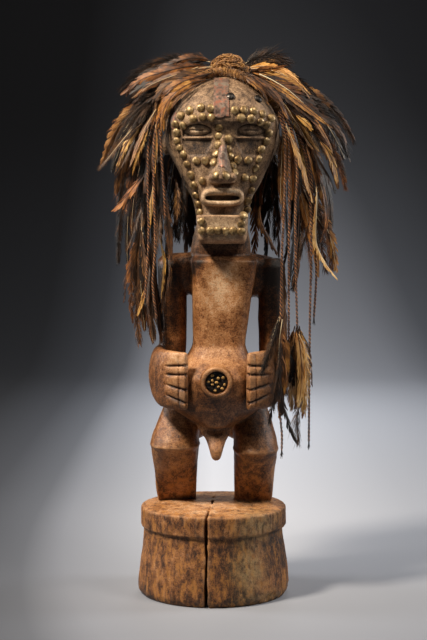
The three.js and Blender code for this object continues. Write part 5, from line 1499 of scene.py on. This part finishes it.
# One feather along a line: its quill and both sides of its vane, with its numbers for the material.
def feather(line, look, chance):
    shaft, length, _, _, face = line
    even = np.linspace(0, 1, len(shaft))
    thick = np.interp(even, [0, 0.3, 1], [1, 0.75, 0.2]) * featherMake["shaft"] / 2 * look["quillSize"]
    points, faces = tube(shaft + face * 0.25, thick, 5)
    quill = np.concatenate([even.repeat(5), [0, 1]])
    none = 0 * quill
    parts = [(points, faces, np.stack([quill, none, none + look["quill"], none + 1, quill * length], -1))]
    for hand, wide in zip((-1.0, 1.0), look["sides"]):
        half = look["half"] * wide
        if look["loose"] > 0.75:
            parts.append(downyVane(line, half * 1.1, look["pointed"], hand, look["bare"], chance))
        else:
            parts.append(closedVane(line, half, look["pointed"], look["loose"], hand, look["bare"], chance))
    numbers = np.concatenate([part[2] for part in parts])
    own = np.tile([look["tone"], look["warm"], look["dust"], look["which"]], (len(numbers), 1))
    return [part[:2] for part in parts], np.concatenate([numbers, own], 1)


# The line of a shown feather: it runs through its points and faces forward, a little away from the
# head.
def shownLine(way):
    shaft, length = evenly(curveThrough(way, 12), 2.5)
    out = unit((shaft - np.array([headAxis, 50.0, 0.0])) * np.array([1, 1, 0]))
    return shaft, length, *frameAlong(shaft, out)


quills = {"dark": (0.0, 1.0), "horn": (0.65, 1.15), "cream": (1.2, 1.5)}  # how pale and how thick


# A bundle: its feathers side by side over the spread and in three layers, the lowest layer painted darkest
# and the middle one darker, as painted shade deep in the bundle. Every third feather is a short one that
# covers the roots of the long ones, and the shown feathers come last.
def bundle(name, plume):
    chance = np.random.default_rng(sum(map(ord, name)))
    shells, values = [], []
    looks = []
    count = plume["count"]
    for k in range(count):
        layer = k % 3 - 1
        place = np.clip((k + 0.5) / count - 0.5 + chance.normal(0, 0.06), -0.5, 0.5)
        start = chance.uniform(0.0, 0.14) * (0.3 if plume["front"] == 1 else 1)
        reach = chance.uniform(0.5, 0.78) if layer == 1 else chance.uniform(0.8, 1.0)
        line = shaftOf(plume, place, start, reach, layer + chance.normal(0, 0.3), chance)
        looks.append((line, {
            "half": plume["half"] * chance.uniform(0.72, 1.2), "pointed": chance.uniform(0.2, 0.95),
            "loose": 1.0 if chance.random() < 0.08 + plume["fluff"] * 0.7 else
                     np.clip(0.2 + 0.6 * plume["fluff"] + chance.normal(0, 0.22), 0, 0.75),
            # the lower layers are painted darker, as the shade deep in the bundle
            "tone": np.clip(plume["tone"] + (-0.38, -0.2, -0.12)[k % 3] + chance.normal(0, 0.18), 0.02, 0.9),
            "warm": chance.random(), "dust": np.clip(0.8 * plume["dust"] + chance.normal(0, 0.22), 0, 1),
            "quill": float(chance.random() < 0.3) * 0.8, "quillSize": 1.0, "sides": (1, 1),
            "bare": 0.03, "which": k}))
    for k, (half, tone, warm, dust, loose, way, *more) in enumerate(shownFeathers.get(name, [])):
        own = more[0] if more else {}
        pale, size = quills[own.get("quill", "dark")]
        looks.append((shownLine(way), {
            "half": half, "pointed": 0.55, "loose": min(1.0, loose + 0.15),
            "tone": tone - 0.12 + plume["shade"],
            "warm": warm, "dust": dust, "quill": pale, "quillSize": size, "sides": own.get("sides", (1, 1)),
            "bare": own.get("bare", 0.03), "which": 40 + k}))
    for line, look in looks:
        parts, numbers = feather(line, look, chance)
        shells += parts
        values.append(numbers)
    values = np.concatenate(values)
    keys = ("along", "outward", "tint", "shaft", "barb", "tone", "warm", "dust", "which")
    piece = newPiece("plumes_" + name, *together(shells), values=dict(zip(keys, values.T)))
    piece.data.set_sharp_from_angle(angle=math.radians(40))
    return piece


# Cock and guinea-fowl feathers, sun-browned and dusty. Fine streaks run out along the barbs, a dark
# stripe follows the shaft, the vane is darker towards the root, some shafts are pale horn, and the
# surface has the satin gloss of keratin.
featherTones = {
    "gold": [(0.0, "#0f0906"), (1.0, "#f0d190"), (0.22, "#2b1a0f"), (0.4, "#5c3c1d"), (0.57, "#98692b"),
             (0.76, "#cb9c48")],
    "rust": [(0.0, "#100805"), (1.0, "#ecb878"), (0.22, "#2c180d"), (0.4, "#633717"), (0.57, "#9a5b27"),
             (0.76, "#c58640")],
    "dusty": [(0.05, "#17100b"), (1.0, "#d6bd9e"), (0.45, "#604835"), (0.75, "#a3856a")],
    "horn": [(0.0, "#33200f"), (1.0, "#f1dfba"), (0.5, "#a88450")],
}


def featherVane():
    material, tree, shader, place = newMaterial("aged_fowl_feather")
    tone, warm, dust, along, outward, tint, shaft, barb, which = (
        addNode(tree, "Attribute", out="Fac", attribute_name=key)
        for key in ("tone", "warm", "dust", "along", "outward", "tint", "shaft", "barb", "which"))
    lane = addNode(tree, "CombineXYZ", {"X": barb, "Y": outward, "Z": which})
    lane = addNode(tree, "Mapping", {"Vector": lane, "Scale": (1.1, 0.9, 3.7)})
    streaks = addNode(tree, "TexNoise", {"Vector": lane, "Scale": 1.0, "Detail": 3.0, "Roughness": 0.65})
    mottle = addNode(tree, "TexNoise", {"Vector": place, "Scale": 55.0, "Detail": 3.0})
    shade = tone
    for value, share in ((streaks, 0.95), (tint, 0.3), (mottle, 0.85)):
        off = addNode(tree, "Math", {0: value, 1: -0.5})
        shade = addNode(tree, "Math", {0: off, 1: share, 2: shade}, operation="MULTIPLY_ADD")
    for value, end, amount in ((along, 0.35, -0.14), (outward, 0.3, -0.16)):
        darker = addNode(tree, "MapRange", {"Value": value, "From Max": end, "To Min": amount, "To Max": 0.0})
        shade = addNode(tree, "Math", {0: shade, 1: darker})
    gold, rust, grey = (addNode(tree, "ValToRGB", {"Fac": shade}, featherTones[key])
                        for key in ("gold", "rust", "dusty"))
    horn = addNode(tree, "ValToRGB", {"Fac": tint}, featherTones["horn"])
    greyed = addNode(tree, "Math", {0: dust, 1: 0.85}, operation="MULTIPLY")
    colour = gold
    for share, other in ((warm, rust), (greyed, grey), (shaft, horn)):
        colour = addNode(tree, "Mix", {0: share, 6: colour, 7: other}, out=2, data_type="RGBA")
    bump = addNode(tree, "Bump", {"Height": streaks, "Strength": 0.5, "Distance": 0.0004})
    setSockets(tree, shader, {"Base Color": colour, "Normal": bump, "Roughness": 0.5,
                              "Specular IOR Level": 0.35})
    return material


vane = featherVane()
trianglesInAll = 0
plumePieces = {}
for name, row in plumes.items():
    piece = plumePieces[name] = bundle(name, dict(zip(plumeParts, row)))
    piece.data.materials.append(vane)
    dress(piece, "feather", name)
    trianglesInAll += sum(len(face.vertices) - 2 for face in piece.data.polygons)
print("feathers:", trianglesInAll, "triangles in", len(plumes), "bundles")


# A plain studio: a warm soft key high on the left, a weaker one on the right and one at each side.
# Each light is 1.9 m from the chest, at a turn from the front and a height in degrees.
studio = {
    "aim": (0, 0, 0.42), "away": 1.9,
    "lights": {"key": (-50, 50, 54, 0.32, "#fff0dc"), "second": (50, 50, 13, 0.5, "#fff3e4"),
               "left side": (-100, 20, 20, 0.6, "#f4f1ee"), "right side": (100, 20, 20, 0.6, "#f4f1ee")},
    "air": "#c9d3e6", "airStrength": 0.06,
    "floorLamp": {"place": (0.25, 1.9, 1.8), "power": 17, "size": 0.8, "spread": 130},
    "sweep": {"flat": 2.6, "round": 1.5, "near": -4.0, "side": 5.0, "top": 5.0},
    # the tones of the backdrop's painted pool of light, from pale in its middle to dark at its edge
    "paintedPoolTones": [(0.0, "#c6cad3"), (1.0, "#1d1f24"), (0.23, "#9b9fa8"), (0.42, "#7d818a"),
                   (0.52, "#565a62"),
                   (0.7, "#383b42")],
    "paintedPoolFades": (("X", 0.0, -0.24), ("X", 0.0, 0.62), ("Y", 1.2, 4.6), ("Y", 0.6, -0.4), ("Z", 0.0, 1.1)),
    "paintedPoolReach": 2.4,
}


# A soft square light that looks at the figure's chest.
def softLight(name, turn, rise, power, size, colour):
    turn, rise = math.radians(turn), math.radians(rise)
    way = np.array([math.sin(turn) * math.cos(rise), -math.cos(turn) * math.cos(rise), math.sin(rise)])
    lamp = bpy.data.lights.new(name, "AREA")
    lamp.size, lamp.energy, lamp.color = size, power, linearColour(colour)[:3]
    holder = bpy.data.objects.new(name, lamp)
    holder.location = np.array(studio["aim"]) + way * studio["away"]
    holder.rotation_euler = (math.pi / 2 - rise, 0, turn)
    bpy.context.scene.collection.objects.link(holder)


for name, light in studio["lights"].items():
    softLight(name, *light)

# One more lights the floor behind the figure from above and keeps to it.
lamp = bpy.data.lights.new("floor lamp", "AREA")
lamp.size, lamp.energy = studio["floorLamp"]["size"], studio["floorLamp"]["power"]
lamp.spread = math.radians(studio["floorLamp"]["spread"])
holder = bpy.data.objects.new("floor lamp", lamp)
holder.location = studio["floorLamp"]["place"]
bpy.context.scene.collection.objects.link(holder)

world = bpy.data.worlds.new("studio_air")
world.use_nodes = True
setSockets(world.node_tree, world.node_tree.nodes["Background"],
           {"Color": studio["air"], "Strength": studio["airStrength"]})
bpy.context.scene.world = world
bpy.context.scene.view_settings.view_transform = "Standard"


# The floor runs back flat, bends up through a quarter circle and stands as a wall.
def studioSweep(sweep):
    bend = np.linspace(0, math.pi / 2, 24)
    flat, radius = sweep["flat"], sweep["round"]
    y = np.concatenate([[sweep["near"]], flat + radius * np.sin(bend), [flat + radius]])
    z = np.concatenate([[0], radius * (1 - np.cos(bend)), [sweep["top"]]])
    edges = [np.stack([0 * y + side, y, z], -1) for side in (-sweep["side"], sweep["side"])]
    line = np.stack(edges, 1) * 1000
    k = np.arange(len(y) - 1)[:, None]
    return line.reshape(-1, 3), [np.concatenate([2 * k, 2 * k + 1, 2 * k + 3, 2 * k + 2], 1)]


# Matt paper with a painted pool of light: painted palest round the figure and darker with the distance
# from it and with height. The painted pool's reach is shorter to the left than to the right. A fade is an
# axis, where it starts and where it is full in metres, and the root of their squares' sum sets the tone.
def backdropWithPaintedPool():
    material, tree, shader, place = newMaterial("matt_backdrop_paper_painted_pool_of_light")
    share = 0.0
    for axis, low, high in studio["paintedPoolFades"]:
        part = addNode(tree, "SeparateXYZ", {"Vector": place}, out=axis)
        span = addNode(tree, "MapRange", {"Value": part, "From Min": low, "From Max": high}, clamp=False)
        span = addNode(tree, "Math", {0: span, 1: 0.0}, operation="MAXIMUM")
        span = addNode(tree, "Math", {0: span, 1: 2.0}, operation="POWER")
        share = addNode(tree, "Math", {0: span, 1: share})
    share = addNode(tree, "Math", {0: share, 1: 0.5}, operation="POWER")
    share = addNode(tree, "Math", {0: share, 1: 1 / studio["paintedPoolReach"]}, operation="MULTIPLY")
    tones = addNode(tree, "ValToRGB", {"Fac": share}, studio["paintedPoolTones"])
    setSockets(tree, shader, {"Base Color": tones, "Roughness": 0.85})
    return material


floor = newPiece("floor_sweep", *studioSweep(studio["sweep"]), backdropWithPaintedPool())
